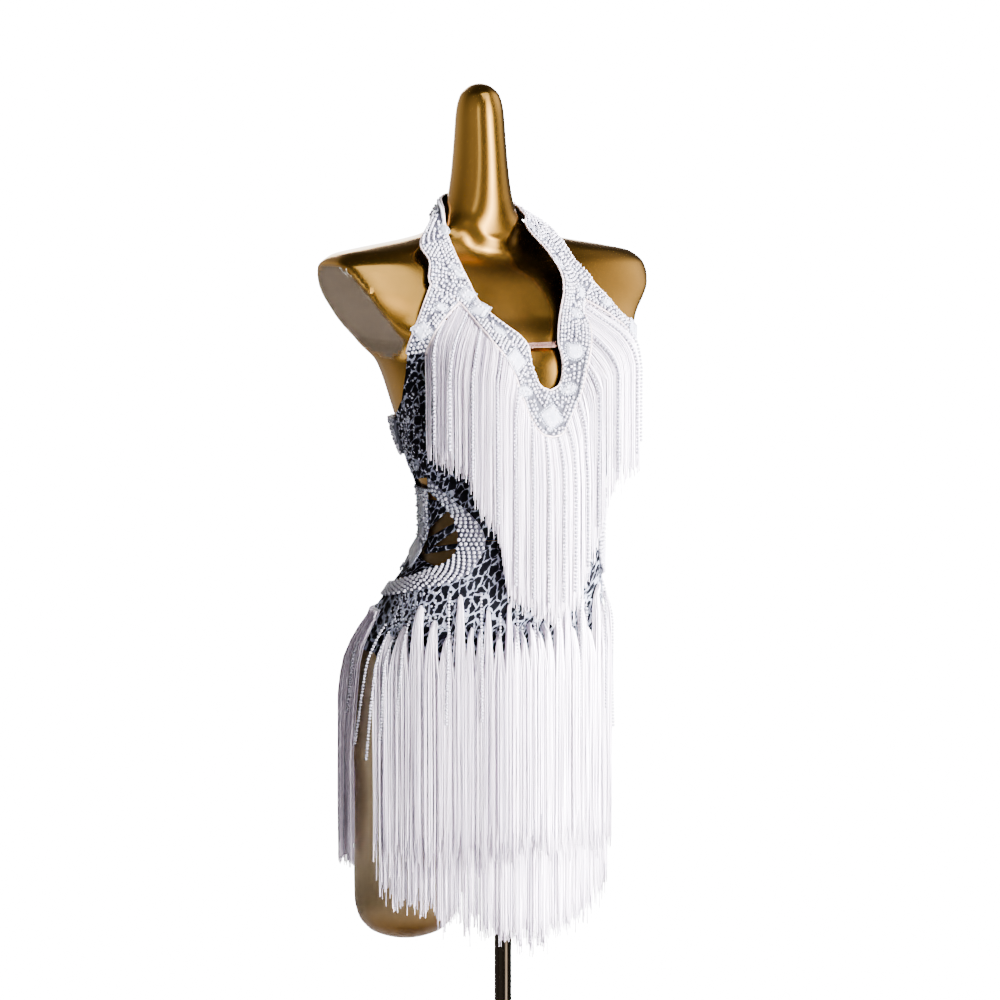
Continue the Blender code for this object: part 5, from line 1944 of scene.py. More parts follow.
# ---------------------------------------------------------------- printed cloth
ARMHOLE = ((50, 1.294), (56, 1.289), (60, 1.272), (67, 1.262), (71, 1.230), (75, 1.207),
           (84, 1.188))
BODICE_FOOT = ((0, WAIST_HEIGHT), (36, WAIST_HEIGHT), (38, 1.072), (44, 1.088), (55, 1.106),
               (65, 1.124), (84, 1.118))
HIP_TOP = ((0, WAIST_HEIGHT), (36, WAIST_HEIGHT), (37.5, 1.044), (44, 1.024), (55, 1.012),
           (74, 1.000), (98, 0.988), (125, 0.982), (180, 0.978))
HIP_FOOT = ((0, 0.900), (78, 0.900), (92, 0.929), (108, 0.929), (122, 0.900), (180, 0.900))
BACK_PANEL_EDGE = ((0.9885, 116.0), (1.001, 110.0), (1.007, 101.0), (1.010, 84.0), (1.013, 72.0),
                   (1.017, 62.0), (1.024, 60.0), (1.028, 63.0), (1.033, 73.0), (1.039, 79.0),
                   (1.044, 84.0), (1.060, 82.0), (1.080, 80.5), (1.098, 80.0), (1.114, 80.0),
                   (1.118, 84.3), (1.147, 84.3))
SIDE_SEAM = 92.0
HALF_SEAM = 0.15              # bearing from the seam to each of its panels
HALTER_MARGIN = 0.005
CREASE, CREASE_SPREAD = 0.0006, 0.045
STRAP_FOLD, STRAP_PILE = 0.0005, 0.0007   # how much a strap folds, and one lies over the next
GLITTER = 900
GLITTER_SITES = (50.0, 82.0, 90.0)        # nearest, commonest and farthest bearing
BODICE_GLITTER = (((50.0, 1.112), (66.0, 1.130), (90.0, 1.124)),
                  ((50.0, 1.26), (67.0, 1.25), (75.0, 1.20), (90.0, 1.185)))
HIP_GLITTER = (((50.0, 0.95), (78.0, 0.94), (90.0, 0.935)),
               ((50.0, 1.010), (74.0, 0.996), (90.0, 0.988)))
HIP_SHARE = 0.45
GLITTER_SIZES, GLITTER_LIFT = (0.0016, 0.0028), 0.0001


@dataclass
class PrintedCloth:
    """Printed stretch panels of the front, hips and back, and the straps at the waist."""

    room: Workroom
    pitch: float = 1.5
    rows: int = 60
    side: float = 84.0            # bearing of the front's side edges
    print_share: float = 0.35     # of the figure's width in the print's scale
    print_reach: float = 0.085
    back_rows: int = 70
    back_columns: int = 121
    back_foot: float = 0.010
    strap_grid: tuple[int, int] = (18, 7)
    strap_tuck: float = 0.12      # how much of a strap is under each trim

    def _top(self, bearing: Array) -> Array:
        """Top of the front, under the halter and down the armhole.

        Args:
            bearing: bearings in degrees.

        Returns:
            A height for each.
        """
        size = np.abs(bearing)
        result = edge_height(ARMHOLE, size)
        for side, stations in ((-1, RIGHT_STATIONS), (1, LEFT_STATIONS)):
            rows = [(s.outer, s.outer_height + HALTER_MARGIN) for s in stations[:APEX]]
            rows.append(ARMHOLE[0])
            under = edge_height(rows, size)
            result = np.where((np.sign(bearing) == side) & (size < ARMHOLE[0][0]), under, result)
        return np.where(bearing == 0, RIGHT_STATIONS[0].outer_height + HALTER_MARGIN, result)

    def _sewn(self, name: str, patch: Patch, node: str, under: str,
              uv: Array | None = None) -> bpy.types.Object:
        """Piece of printed cloth, attached to the body.

        Args:
            name: its name.
            patch: its inner side.
            node: the node that it replaces.
            under: the node that it rests on.
            uv: pairs for the print, if not the patch's own.

        Returns:
            The piece.
        """
        item = patch.wall(name, CLOTH, [self.room.wardrobe.get("printed_jersey")], uv)
        self.room.cut(item, patch, under)
        return self.room.finish_piece(item, "printed_jersey", node)

    def _creased(self, sites: Array, heights: Array) -> Patch:
        """Cloth over the form, with shallow uneven folds that run out from the waist openings.

        Args:
            sites: bearings of its grid.
            heights: heights of its grid.

        Returns:
            The cloth's inner side.
        """
        patch = Patch(self.room.figure.lifted(sites, heights, np.full(heights.shape, CLEAR)))
        lean = heights * 240.0 + np.abs(turned(sites)) * 0.16
        fade = np.exp(-((heights - WAIST_HEIGHT) / CREASE_SPREAD)**2)
        uneven = 0.55 + 0.45 * np.sin(turned(sites) * 0.071 + heights * 31.0)
        crease = CREASE * fade * uneven * (1.0 + np.sin(lean) * np.sin(lean * 0.37 + 1.3))
        patch.points += patch.normals * crease[..., None]
        return patch

    def _panel(self, name: str, node: str, bearings: Array, low: Array,
               high: Array) -> bpy.types.Object:
        """Panel between a foot and a top at each bearing.

        Args:
            name: its name.
            node: the node that it replaces.
            bearings: bearings of its columns.
            low: height of its foot at each.
            high: height of its top at each.

        Returns:
            The panel.
        """
        part = np.linspace(0.0, 1.0, self.rows)[None, :]
        heights = low[:, None] + (high - low)[:, None] * part
        sites = np.broadcast_to(bearings[:, None], heights.shape)
        scale = self.room.figure.reach(sites, heights) * self.print_share + self.print_reach
        uv = np.stack([np.radians(turned(sites)) * scale, heights], -1)
        return self._sewn(name, self._creased(sites, heights), node, "dress_form", uv)

    def build(self) -> list[bpy.types.Object]:
        """Front, hips, back panel, straps and strewn crystals.

        Returns:
            The pieces.
        """
        bearings = np.arange(-self.side, self.side + 0.1, self.pitch)
        foot = edge_height(BODICE_FOOT, np.abs(bearings)) + SEAM
        front = self._panel("front_cloth", "bodice_front", bearings, foot,
                            self._top(bearings))
        edge = SIDE_SEAM - HALF_SEAM
        hip_front = self._hip("hip_front", np.append(np.arange(-edge, edge, self.pitch), edge))
        edge = SIDE_SEAM + HALF_SEAM
        hip_back = self._hip("hip_back", np.append(np.arange(edge, 360 - edge, self.pitch),
                                                   360 - edge))
        return [front, hip_front, hip_back, self._back()] + self._straps() + self._glitter()

    def _hip(self, node: str, bearings: Array) -> bpy.types.Object:
        """Front or back of the hips, up to the waist seam and the trims.

        Args:
            node: the node that it replaces.
            bearings: bearings of its columns.

        Returns:
            The panel.
        """
        size = np.abs(turned(bearings))
        return self._panel(f"{node}_cloth", node, bearings, edge_height(HIP_FOOT, size),
                           edge_height(HIP_TOP, size) - 2 * SEAM)

    def _back(self) -> bpy.types.Object:
        """Panel between the two waist openings.

        Returns:
            The panel.
        """
        edges = np.array(BACK_PANEL_EDGE)
        heights = np.linspace(edges[0, 0], edges[-1, 0], self.back_rows)
        side = np.interp(heights, edges[:, 0], edges[:, 1])
        part = np.linspace(0.0, 1.0, self.back_columns)[None, :]
        sites = side[:, None] + (360 - 2 * side)[:, None] * part
        foot = edge_height(HIP_TOP, np.abs(turned(sites))) + self.back_foot
        levels = np.maximum(np.broadcast_to(heights[:, None], sites.shape), foot)
        return self._sewn("back_cloth", self._creased(sites, levels), "back_panel", "dress_form")

    def _straps(self) -> list[bpy.types.Object]:
        """Three narrow straps across each waist opening.

        Returns:
            The straps.
        """
        made = []
        part, across = np.meshgrid(
            np.linspace(-self.strap_tuck, 1.0 + self.strap_tuck, self.strap_grid[0]),
            np.linspace(-0.5, 0.5, self.strap_grid[1]), indexing="ij")
        for side, hand in HANDS:
            for place, strap in enumerate(STRAPS):
                sites = strap.back + (strap.front - strap.back) * part
                levels = strap.back_height + (strap.front_height - strap.back_height) * part
                levels = levels + across * (strap.width + (strap.front_width - strap.width) * part)
                rise = CLEAR + STRAP_FOLD * np.cos(3.0 * np.pi * across) + STRAP_PILE * place
                patch = Patch(self.room.figure.lifted(side * sites, levels, rise))
                made.append(self._sewn(f"waist_strap_{strap.name}_{hand}", patch,
                                       f"cutout_strap_{strap.name}_{hand}",
                                       f"cutout_back_trim_{hand}"))
        return made

    def _glitter(self) -> list[bpy.types.Object]:
        """Tiny crystals strewn over the sides of the print.

        Returns:
            The crystals, as one piece.
        """
        room, chance = self.room, self.room.chance
        side = np.where(chance.random(GLITTER) < 0.5, -1.0, 1.0)
        site = side * chance.triangular(*GLITTER_SITES, GLITTER)
        low, high = (edge_height(rows, np.abs(site)) for rows in BODICE_GLITTER)
        level = low + (high - low) * chance.random(GLITTER)
        hip = chance.random(GLITTER) < HIP_SHARE
        low, high = (edge_height(rows, np.abs(site)) for rows in HIP_GLITTER)
        level = np.where(hip, low + (high - low) * chance.random(GLITTER), level)
        spots = room.figure.lifted(site, level, np.full(GLITTER, CLEAR + CLOTH + GLITTER_LIFT))
        points, faces = copies(room.beads.crystal, spots, np.tile([0.0, 0.0, 1.0], (GLITTER, 1)),
                               room.figure.normal(site, level),
                               chance.uniform(*GLITTER_SIZES, GLITTER))
        item = mesh_object("strewn_crystals", points, faces, [room.wardrobe.get("crystal")],
                           smooth=False)
        return [room.finish_piece(item, "crystal")]


@dataclass(frozen=True)
class Strap:
    """Printed strap across a waist opening, from the back trim to the front trim."""

    name: str
    back: float
    back_height: float
    front: float
    front_height: float
    width: float
    front_width: float


STRAPS = (
    Strap("upper", 66.0, 1.084, 55.0, 1.0930, 0.030, 0.012),
    Strap("middle", 66.0, 1.052, 50.4, 1.0715, 0.013, 0.009),
    Strap("lower", 66.4, 1.0435, 49.6, 1.0510, 0.007, 0.0055),
)


# ---------------------------------------------------------------- waist trims and back band
@dataclass(frozen=True)
class Trim:
    """Where a trim's outer and inner edges pass."""

    outer: float
    outer_height: float
    inner: float
    inner_height: float


FRONT_TRIM = (
    Trim(65.0, 1.124, 65.5, 1.110), Trim(55.0, 1.106, 59.0, 1.100), Trim(44.0, 1.088, 52.0, 1.085),
    Trim(38.0, 1.072, 49.0, 1.072), Trim(36.0, 1.058, 48.5, 1.057), Trim(37.5, 1.044, 50.5, 1.043),
    Trim(44.0, 1.024, 57.0, 1.031), Trim(55.0, 1.012, 65.0, 1.024), Trim(74.0, 1.000, 77.0, 1.013),
    Trim(98.0, 0.988, 99.0, 1.000), Trim(125.0, 0.982, 125.0, 0.994),
    Trim(152.0, 0.980, 152.0, 0.992), Trim(179.6, 0.978, 179.6, 0.990),
)
BACK_TRIM = (
    Trim(80.0, 1.114, 66.0, 1.112), Trim(80.0, 1.098, 66.5, 1.098), Trim(81.0, 1.080, 67.0, 1.080),
    Trim(83.0, 1.060, 67.5, 1.062), Trim(88.0, 1.044, 72.0, 1.045), Trim(95.0, 1.030, 84.0, 1.032),
    Trim(105.0, 1.011, 98.0, 1.014),
)
BACK_TRIM_STONES = (
    Stone(80.0, 1.040, 0.030, StoneCut.SQUARE, 20.0), Stone(90.0, 1.030, 0.019, StoneCut.OVAL),
    Stone(74.0, 1.064, 0.018, StoneCut.LEAF), Stone(73.0, 1.090, 0.015, StoneCut.OVAL),
)
BAND_TOP, BAND_FOOT, BAND_FROM = 1.187, 1.147, 84.3
BAND_SWELL = 0.0040
BAND_GRID = (100, 15)
BAND_STONES, BAND_STONE = 15, 0.016
BAND_STONE_HEIGHT, BAND_STONE_STEP, BAND_STONE_TURN = 1.167, 0.006, 25.0


@dataclass
class WaistTrims:
    """Beaded trims round the waist openings and the band across the back."""

    room: Workroom
    steps: int = 8
    across: int = 9

    def _patch(self, rows: Sequence[Trim], side: int) -> Patch:
        """Smooth ribbon through a trim's rows, reaching a little over its neighbours.

        Args:
            rows: where its edges pass.
            side: -1 for the wearer's right, 1 for the left.

        Returns:
            Its grid.
        """
        table = np.array([(t.outer, t.outer_height, t.inner, t.inner_height) for t in rows])
        places = np.linspace(0.0, len(rows) - 1.0, (len(rows) - 1) * self.steps + 1)
        figure = self.room.figure
        lift = np.full(len(rows), TRIM_LIFT)
        outer = eased_path(figure.lifted(side * table[:, 0], table[:, 1], lift), places)
        inner = eased_path(figure.lifted(side * table[:, 2], table[:, 3], lift), places)
        outer = outer + unit(outer - inner) * OVERLAP
        return Patch(figure.kept_off(between(outer, inner, self.across), TRIM_LIFT))

    def _net(self, name: str, patch: Patch, node: str, *under: str) -> bpy.types.Object:
        """Net of a trim, attached to the body.

        Args:
            name: its name.
            patch: its inner side.
            node: the node that it replaces.
            under: nodes that it rests on.

        Returns:
            The net.
        """
        item = patch.wall(name, TRIM_THICK, [self.room.wardrobe.get("silver_net")])
        self.room.finish_piece(item, "silver_net", node)
        self.room.cut(item, patch, *under)
        return item

    def build(self) -> list[bpy.types.Object]:
        """Both trims on both sides, and the band.

        Returns:
            The pieces.
        """
        room = self.room
        pieces = []
        for side, hand in HANDS:
            front = self._patch(FRONT_TRIM, side)
            pieces.append(self._net(f"waist_trim_{hand}", front, f"cutout_front_trim_{hand}",
                                    "hip_front", "bodice_front"))
            pieces += room.sew_pearls(f"waist_trim_{hand}", front, TRIM_THICK, FRONT_TRIM_BEADS)
            back = self._patch(BACK_TRIM, side)
            pieces.append(self._net(f"back_trim_{hand}", back, f"cutout_back_trim_{hand}",
                                    "dress_form"))
            stones = [Stone(side * s.bearing, s.height, s.size, s.cut, s.turn)
                      for s in BACK_TRIM_STONES]
            made, taken = room.sew_stones(f"back_trim_{hand}", back, stones, TRIM_THICK)
            pieces += made
            pieces += room.sew_pearls(f"back_trim_{hand}", back, TRIM_THICK, BACK_TRIM_BEADS,
                                      taken)
        return pieces + self._band()

    def _band(self) -> list[bpy.types.Object]:
        """Band across the back, swollen with large stones.

        Returns:
            The pieces.
        """
        room = self.room
        bearings, part = np.meshgrid(np.linspace(BAND_FROM, 360 - BAND_FROM, BAND_GRID[0]),
                                     np.linspace(0.0, 1.0, BAND_GRID[1]), indexing="ij")
        levels = BAND_FOOT + (BAND_TOP - BAND_FOOT) * part
        swell = BAND_SWELL * np.sin(np.pi * part)**0.6
        patch = Patch(room.figure.lifted(bearings, levels, CLEAR + swell * 0.5))
        item = patch.wall("back_band_net", BEADED + swell * 0.5, [room.wardrobe.get("silver_net")])
        room.finish_piece(item, "silver_net", "back_band")
        room.cut(item, patch, "dress_form")
        turns = np.linspace(BAND_FROM + 3.0, 357.0 - BAND_FROM, BAND_STONES)
        cuts = (StoneCut.SQUARE, StoneCut.OVAL, StoneCut.LEAF)
        stones = [Stone(b, BAND_STONE_HEIGHT + BAND_STONE_STEP * (-1)**k, BAND_STONE,
                        cuts[k % len(cuts)], BAND_STONE_TURN * k) for k, b in enumerate(turns)]
        made, taken = room.sew_stones("back_band", patch, stones, BEADED + BAND_SWELL * 0.5)
        pearls = room.sew_pearls("back_band", patch, BEADED + BAND_SWELL * 0.42, BAND_BEADS, taken)
        return [item] + made + pearls


@dataclass
class KeyholeBar:
    """Rose bar of three rows of small beads that closes the neckline."""

    room: Workroom
    start: float = -11.5
    end: float = 10.0
    height: float = 1.262
    depth: float = 0.0055
    lift: float = 0.0042
    thick: float = 0.0010
    bead_lift: float = 0.0009     # the beads sit a little into the strip
    bead: float = 0.0018
    rows: tuple[float, float, float] = (0.17, 0.5, 0.83)
    columns: int = 17

    def build(self) -> list[bpy.types.Object]:
        """Backing strip and beads.

        Returns:
            Both pieces.
        """
        room = self.room
        sites, part = np.meshgrid(np.linspace(self.start, self.end, 25),
                                  np.linspace(-0.5, 0.5, 4), indexing="ij")
        patch = Patch(room.figure.lifted(sites, self.height + part * self.depth,
                                         np.full(sites.shape, self.lift)))
        looks = [room.wardrobe.get("rose_bead")]
        item = patch.wall("keyhole_strip", self.thick, looks)
        room.finish_piece(item, "rose_bead", "keyhole_bar")
        places, share = np.meshgrid(np.linspace(0.4, 23.6, self.columns), self.rows)
        spots, normals, along = patch.at(places.ravel(), share.ravel())
        points, faces = copies(room.beads.pearl, spots + normals * self.bead_lift, along, normals,
                               np.full(len(spots), self.bead))
        beads = mesh_object("keyhole_beads", points, faces, looks)
        return [item, room.finish_piece(beads, "rose_bead")]


# ---------------------------------------------------------------- fringe
@dataclass(frozen=True)
class Tassel:
    """How thick and how loose a fringe's strands are."""

    pitch: float
    layers: int
    radius: float
    clump: float
    sway: float
    ragged: float
    gather: float = 0.42
    swell: float = 0.0009


LAYER_SHIFT = 0.37            # how far a layer's locks stand beside the last one's, in locks
ROOT_SHARE = 0.45             # of its distance off the form, where a strand starts
RIPPLE = 0.0005
THICKNESSES = (0.80, 1.15)    # of strands, as shares of their tassel's
PEARL_SIZES = (0.93, 1.05)    # of strung pearls, as shares of their string's


@dataclass
class Fringe:
    """Strands that fall from a heading over the form, then plumb."""

    room: Workroom
    tassel: Tassel
    first_lift: float
    sides: int = 3
    thinnest: float = 0.82        # a strand's thickness at its tip, as a share
    least_fall: float = 0.03      # every strand takes at least this to spread,
    fall: float = 0.22            # this to clump and swing fully
    rise: float = 0.030           # and this to stand fully off the form

    def lift(self, layer: int) -> float:
        """A layer's distance off the form, counted from the cloth outward."""
        return self.first_lift + layer * LAYER_GAP

    def strands(self, starts: Array, root: Array, full: Array, tips: Array, layer: int,
                settle: float, levels: int, crowd: float, even: float | None = None) -> Array:
        """Paths of one layer's strands.

        Args:
            starts: where each strand leaves its heading.
            root: its bearing there.
            full: its bearing where it hangs free.
            tips: the height of its tip.
            layer: which layer it is, from the cloth outward.
            settle: the height where it hangs free.
            levels: points on each strand.
            crowd: how much its points crowd at the top.
            even: the height whose distance off the form all strands share, if they do.

        Returns:
            Strands, levels and coordinates.
        """
        figure, chance, count = self.room.figure, self.room.chance, len(full)
        tassel, shift = self.tassel, LAYER_SHIFT * layer
        lift = self.lift(layer)
        part = (np.arange(1, levels) / (levels - 1))**(1.0 + crowd)
        top = starts[:, 2]
        heights = top[:, None] + (tips - top)[:, None] * part[None, :]
        drop = top[:, None] - heights
        goal = np.minimum(settle, top - self.least_fall)
        settled = np.clip(drop / (top - goal)[:, None], 0.0, 1.0)
        bearing = root[:, None] + (full - root)[:, None] * settled
        fall = np.clip(drop / self.fall, 0.0, 1.0)
        # sums of sines give uneven locks and folds that need no draws
        cell = (full / tassel.clump + shift + 0.30 * np.sin(full * 0.9 + shift * 9.0)
                + 0.22 * np.sin(full * 0.37))
        number = np.round(cell)
        offset = cell - number
        pull = tassel.gather * chance.uniform(0.6, 1.0, count)
        bearing = bearing - (offset * tassel.clump * pull)[:, None] * fall**0.5
        wave = chance.uniform(0.0, 2 * np.pi, (2, count))
        sway = (np.sin(heights * 38.0 + wave[0][:, None]) * 0.5
                + np.sin(heights * 17.0 + wave[1][:, None]) * 0.5)
        swing = (np.sin(number * 3.1)[:, None] * np.sin(heights * 15.0 + number[:, None] * 1.9)
                 + np.sin(number * 1.3)[:, None])
        bearing = bearing + (sway * 0.6 + swing) * tassel.sway * fall
        near = np.where(heights > PLUMB_BELOW, figure.reach(bearing, heights), 0.0)
        rise = np.clip(drop / self.rise, 0.0, 1.0)**0.5
        swell = tassel.swell * ((1.0 - (2 * offset)**2) + 0.8 * np.sin(number * 2.3))
        apart = lift * (ROOT_SHARE + (1.0 - ROOT_SHARE) * rise) + swell[:, None] * fall
        if even is None:
            distance = np.maximum.accumulate(near + apart, axis=1)
        else:
            shared = figure.reach(bearing, np.full(heights.shape, even))
            low = np.where(heights < even, np.maximum(near, shared), shared)
            distance = np.maximum(np.maximum.accumulate(low + apart, axis=1), near + 0.5 * lift)
        ripple = np.sin(heights * 26.0 + wave[1][:, None]) * RIPPLE * fall
        points = figure.around(bearing, heights, distance + ripple)
        return np.concatenate([starts[:, None], points], 1)

    def piece(self, name: str, paths: Array, node: str) -> bpy.types.Object:
        """Strands as one mesh, each with its own tint and length along it.

        Args:
            name: its name.
            paths: the strands' paths.
            node: the node that it replaces.

        Returns:
            The piece.
        """
        chance = self.room.chance
        count, levels = paths.shape[:2]
        own = chance.uniform(*THICKNESSES, count)[:, None]
        thin = np.linspace(1.0, self.thinnest, levels)[None, :]
        points, faces = tubes(paths, self.tassel.radius * own * thin, self.sides)
        run = runs(paths)
        ids = np.broadcast_to(chance.random(count)[:, None], run.shape)
        uv = np.repeat(np.stack([ids, run], -1).reshape(-1, 2), self.sides, axis=0)
        item = mesh_object(name, points, faces, [self.room.wardrobe.get("white_yarn")], uv)
        return self.room.finish_piece(item, "white_yarn", node)


def sew_heading(room: Workroom, name: str, low: Array, high: Array,
                thick: float = STRIP) -> bpy.types.Object:
    """Narrow woven tape that carries strands.

    Args:
        room: the workroom.
        name: its name.
        low: points along its lower edge.
        high: points along its upper edge.
        thick: its thickness.

    Returns:
        The tape.
    """
    patch = Patch(between(low, high, 3))
    item = patch.wall(name, thick, [room.wardrobe.get("white_heading")])
    room.cut(item, patch, "bodice_front", "hip_front", "hip_back")
    return room.finish_piece(item, "white_heading")


def string_pearls(room: Workroom, name: str, paths: Array, size: float,
                  pitch: float) -> bpy.types.Object:
    """Strings of pearls that hang among strands.

    Args:
        room: the workroom.
        name: the new piece's name.
        paths: the strings' paths.
        size: a pearl's width.
        pitch: distance from pearl to pearl.

    Returns:
        The strings, as one piece.
    """
    spots, ahead, out = [], [], []
    for path in paths:
        run = run_of(path)
        places = np.arange(pitch / 2, run[-1], pitch)
        here = on_path(places, run, path)
        spots.append(here)
        ahead.append(on_path(places + 0.001, run, path) - here + [0.0, 0.0, -1e-6])
        out.append((here - [0.0, AXIS_Y, 0.0]) * [1.0, 1.0, 0.0])
    spots, ahead, out = (np.concatenate(rows) for rows in (spots, ahead, out))
    sizes = size * room.chance.uniform(*PEARL_SIZES, len(spots))
    points, faces = copies(room.beads.ball, spots, ahead, out, sizes)
    item = mesh_object(name, points, faces, [room.wardrobe.get("strung_pearl")])
    return room.finish_piece(item, "strung_pearl")


CHEST_SPREAD_RIGHT = (0.0, 7.5, 13.5, 19.5, 26.0, 32.5, 38.5, 44.5, 50.5, 54.0, 57.5)
CHEST_SPREAD_LEFT = (0.0, 7.0, 12.5, 18.0, 24.0, 29.0, 33.0, 37.0, 43.0, 50.5, 57.5)
CHEST_SIDE = 57.5
CHEST_HEM = ((-65, 1.158), (-57.5, 1.152), (-48, 1.144), (-44, 1.137), (-39.5, 1.123),
             (-38, 1.100), (-35, 1.089), (-28.5, 1.060), (-26.5, 1.024), (-25, 1.003),
             (-18.5, 0.993), (-9.5, 0.979), (-1, 0.972), (6, 0.982), (14.5, 0.998), (19, 1.024),
             (22, 1.040), (25, 1.062), (28.5, 1.100), (33.5, 1.122), (44, 1.135), (65, 1.157))
CHEST_STRINGS = (-54.0, -47.5, -39.0, -30.0, -21.5, -13.0, -5.0, 3.0, 9.5, 17.0, 24.0, 31.0, 41.0,
                 50.0)
CHEST_TASSEL = Tassel(pitch=0.68, layers=5, radius=0.00068, clump=2.9, sway=0.40, ragged=0.0045)


@dataclass
class ChestFringe:
    """Fringe under the halter's lower edge, spread over the bust."""

    room: Workroom
    halter: Halter
    first_lift: float = 0.0074
    heading_lift: float = 0.0038
    heading_thick: float = 0.0009
    heading_edges: tuple[float, float] = (0.002, -0.005)    # below the halter's edge
    root_lift: float = 0.0050
    root_step: float = 0.0004
    root_drop: float = 0.0012
    shortest: float = 0.05
    step: float = 0.004           # the way down the skin is measured over this height
    columns: int = 150
    loose: float = 0.4            # how far a strand may stray from its place, in pitches
    ragged: float = 1.5
    shorten: float = 0.012        # the pearl strings end this far above the strands
    pearl: float = 0.0037
    pearl_pitch: float = 0.0042
    levels: int = 17
    crowd: float = 0.55

    def _edge(self, spread: Array) -> Array:
        """Points on the halter's lower edge.

        Args:
            spread: bearings at the bust.

        Returns:
            A point for each.
        """
        size = np.abs(spread)
        result = np.empty((len(spread), 3))
        for side, table in ((-1, CHEST_SPREAD_RIGHT), (1, CHEST_SPREAD_LEFT)):
            place = np.interp(size, table, np.arange(len(table)))
            _, outer, leg, _ = self.halter.edges(side)
            mine = (spread < 0) if side < 0 else (spread >= 0)
            main = eased_path(outer, np.minimum(place, APEX))
            lower = eased_path(leg, np.clip(place - APEX, 0.0, 2.0))
            result[mine] = np.where((place <= APEX)[:, None], main, lower)[mine]
        return result

    def _heading(self, spread: Array, drop: float, lift: float) -> Array:
        """Points below the halter's edge and just inside it.

        Args:
            spread: bearings at the bust.
            drop: how far below it.
            lift: how far off the form.

        Returns:
            A point for each.
        """
        figure = self.room.figure
        edge = self._edge(spread)
        bearing = figure.bearing_of(edge)
        fall = unit(figure.skin(bearing, edge[:, 2] - self.step)
                    - figure.skin(bearing, edge[:, 2]))
        inward = figure.normal(bearing, edge[:, 2]) * (lift - HALTER_LIFT)
        return figure.kept_off(edge + fall * drop + inward, lift)

    def build(self) -> list[bpy.types.Object]:
        """Heading, five layers of strands and strings of pearls.

        Returns:
            The pieces.
        """
        room, tassel = self.room, CHEST_TASSEL
        fringe = Fringe(room, tassel, self.first_lift)
        line = np.linspace(-CHEST_SIDE, CHEST_SIDE, self.columns)
        low, high = (self._heading(line, drop, self.heading_lift) for drop in self.heading_edges)
        heading = sew_heading(room, "chest_heading", low, high, self.heading_thick)
        paths = []
        for layer in range(tassel.layers):
            spread = np.arange(-CHEST_SIDE, CHEST_SIDE, tassel.pitch)
            stray = room.chance.uniform(-self.loose, self.loose, len(spread))
            paths.append(self._strands(fringe, spread + stray * tassel.pitch, layer, self.ragged))
        strands = fringe.piece("chest_strands", np.concatenate(paths), "fringe_chest")
        strings = self._strands(fringe, np.array(CHEST_STRINGS), tassel.layers + 1, 0.0,
                                self.shorten)
        return [heading, strands, string_pearls(room, "chest_pearl_strings", strings, self.pearl,
                                                self.pearl_pitch)]

    def _strands(self, fringe: Fringe, spread: Array, layer: int, ragged: float,
                 shorten: float = 0.0) -> Array:
        """Strands of one layer.

        Args:
            fringe: how they fall.
            spread: their bearings at the bust.
            layer: which layer it is, from the cloth outward.
            ragged: how uneven their tips are.
            shorten: how far above the hem they end.

        Returns:
            Their paths.
        """
        starts = self._heading(spread, self.root_drop, self.root_lift + self.root_step * layer)
        root = self.room.figure.bearing_of(starts)
        tips = edge_height(CHEST_HEM, spread) + shorten
        tips = tips + self.room.chance.normal(0.0, fringe.tassel.ragged * ragged, len(spread))
        tips = np.minimum(tips, starts[:, 2] - self.shortest)
        return fringe.strands(starts, root, spread, tips, layer, BUST_HEIGHT, self.levels,
                              self.crowd)


@dataclass(frozen=True)
class PearlString:
    """Where a string of pearls starts and ends."""

    bearing: float
    height: float
    foot_bearing: float
    foot_height: float


@dataclass(frozen=True)
class SkirtPart:
    """One stretch of the skirt's fringe: its sides, its first strands, its hem and its lift."""

    name: str
    start: float
    end: float
    roots: tuple[tuple[float, float], ...]
    hem: tuple[tuple[float, float], ...]
    lift: float
    tassel: Tassel
    even: float | None = None


SKIRT = (
    SkirtPart("under", -87.0, 87.0, ((0.0, 0.914), (180.0, 0.914)),
              ((-87, 0.672), (-60, 0.650), (-30, 0.626), (0, 0.616), (30, 0.628), (87, 0.676)),
              0.0056, Tassel(pitch=0.62, layers=4, radius=0.00072, clump=4.2, sway=0.20,
                             ragged=0.013, gather=0.26), 0.950),
    SkirtPart("upper", -87.0, 87.0, (), ((-87, 0.716), (0, 0.722), (87, 0.716)), 0.0092,
              Tassel(pitch=0.70, layers=5, radius=0.00072, clump=3.3, sway=0.22, ragged=0.020,
                     gather=0.28), 0.970),
    SkirtPart("back", 106.0, 254.0, ((106, 0.974), (180, 0.968)), ((106, 0.692), (180, 0.694)),
              0.0064, Tassel(pitch=0.78, layers=4, radius=0.00070, clump=3.6, sway=0.35,
                             ragged=0.006)),
)
BUNDLES = (
    (-84.0, 0.952), (-76.0, 0.962), (-68.0, 0.986), (-61.5, 0.970), (-55.0, 0.956),
    (-48.0, 0.999), (-43.5, 0.962), (-38.5, 0.958), (-34.0, 0.982), (-27.5, 0.956),
    (-21.5, 0.989), (-16.5, 0.962), (-11.5, 0.956), (-6.0, 0.964), (0.0, 0.958), (6.0, 0.962),
    (13.0, 0.986), (20.0, 0.991), (26.5, 0.960), (33.5, 0.985), (40.0, 0.958), (47.5, 0.998),
    (54.0, 0.960), (61.0, 0.972), (68.5, 0.985), (76.5, 0.960), (84.0, 0.952),
)
BUNDLE_SHARE = 0.36           # width of a bundle where it is sewn on
BUNDLE_SLOPE = 0.0034         # how far its top falls for each degree
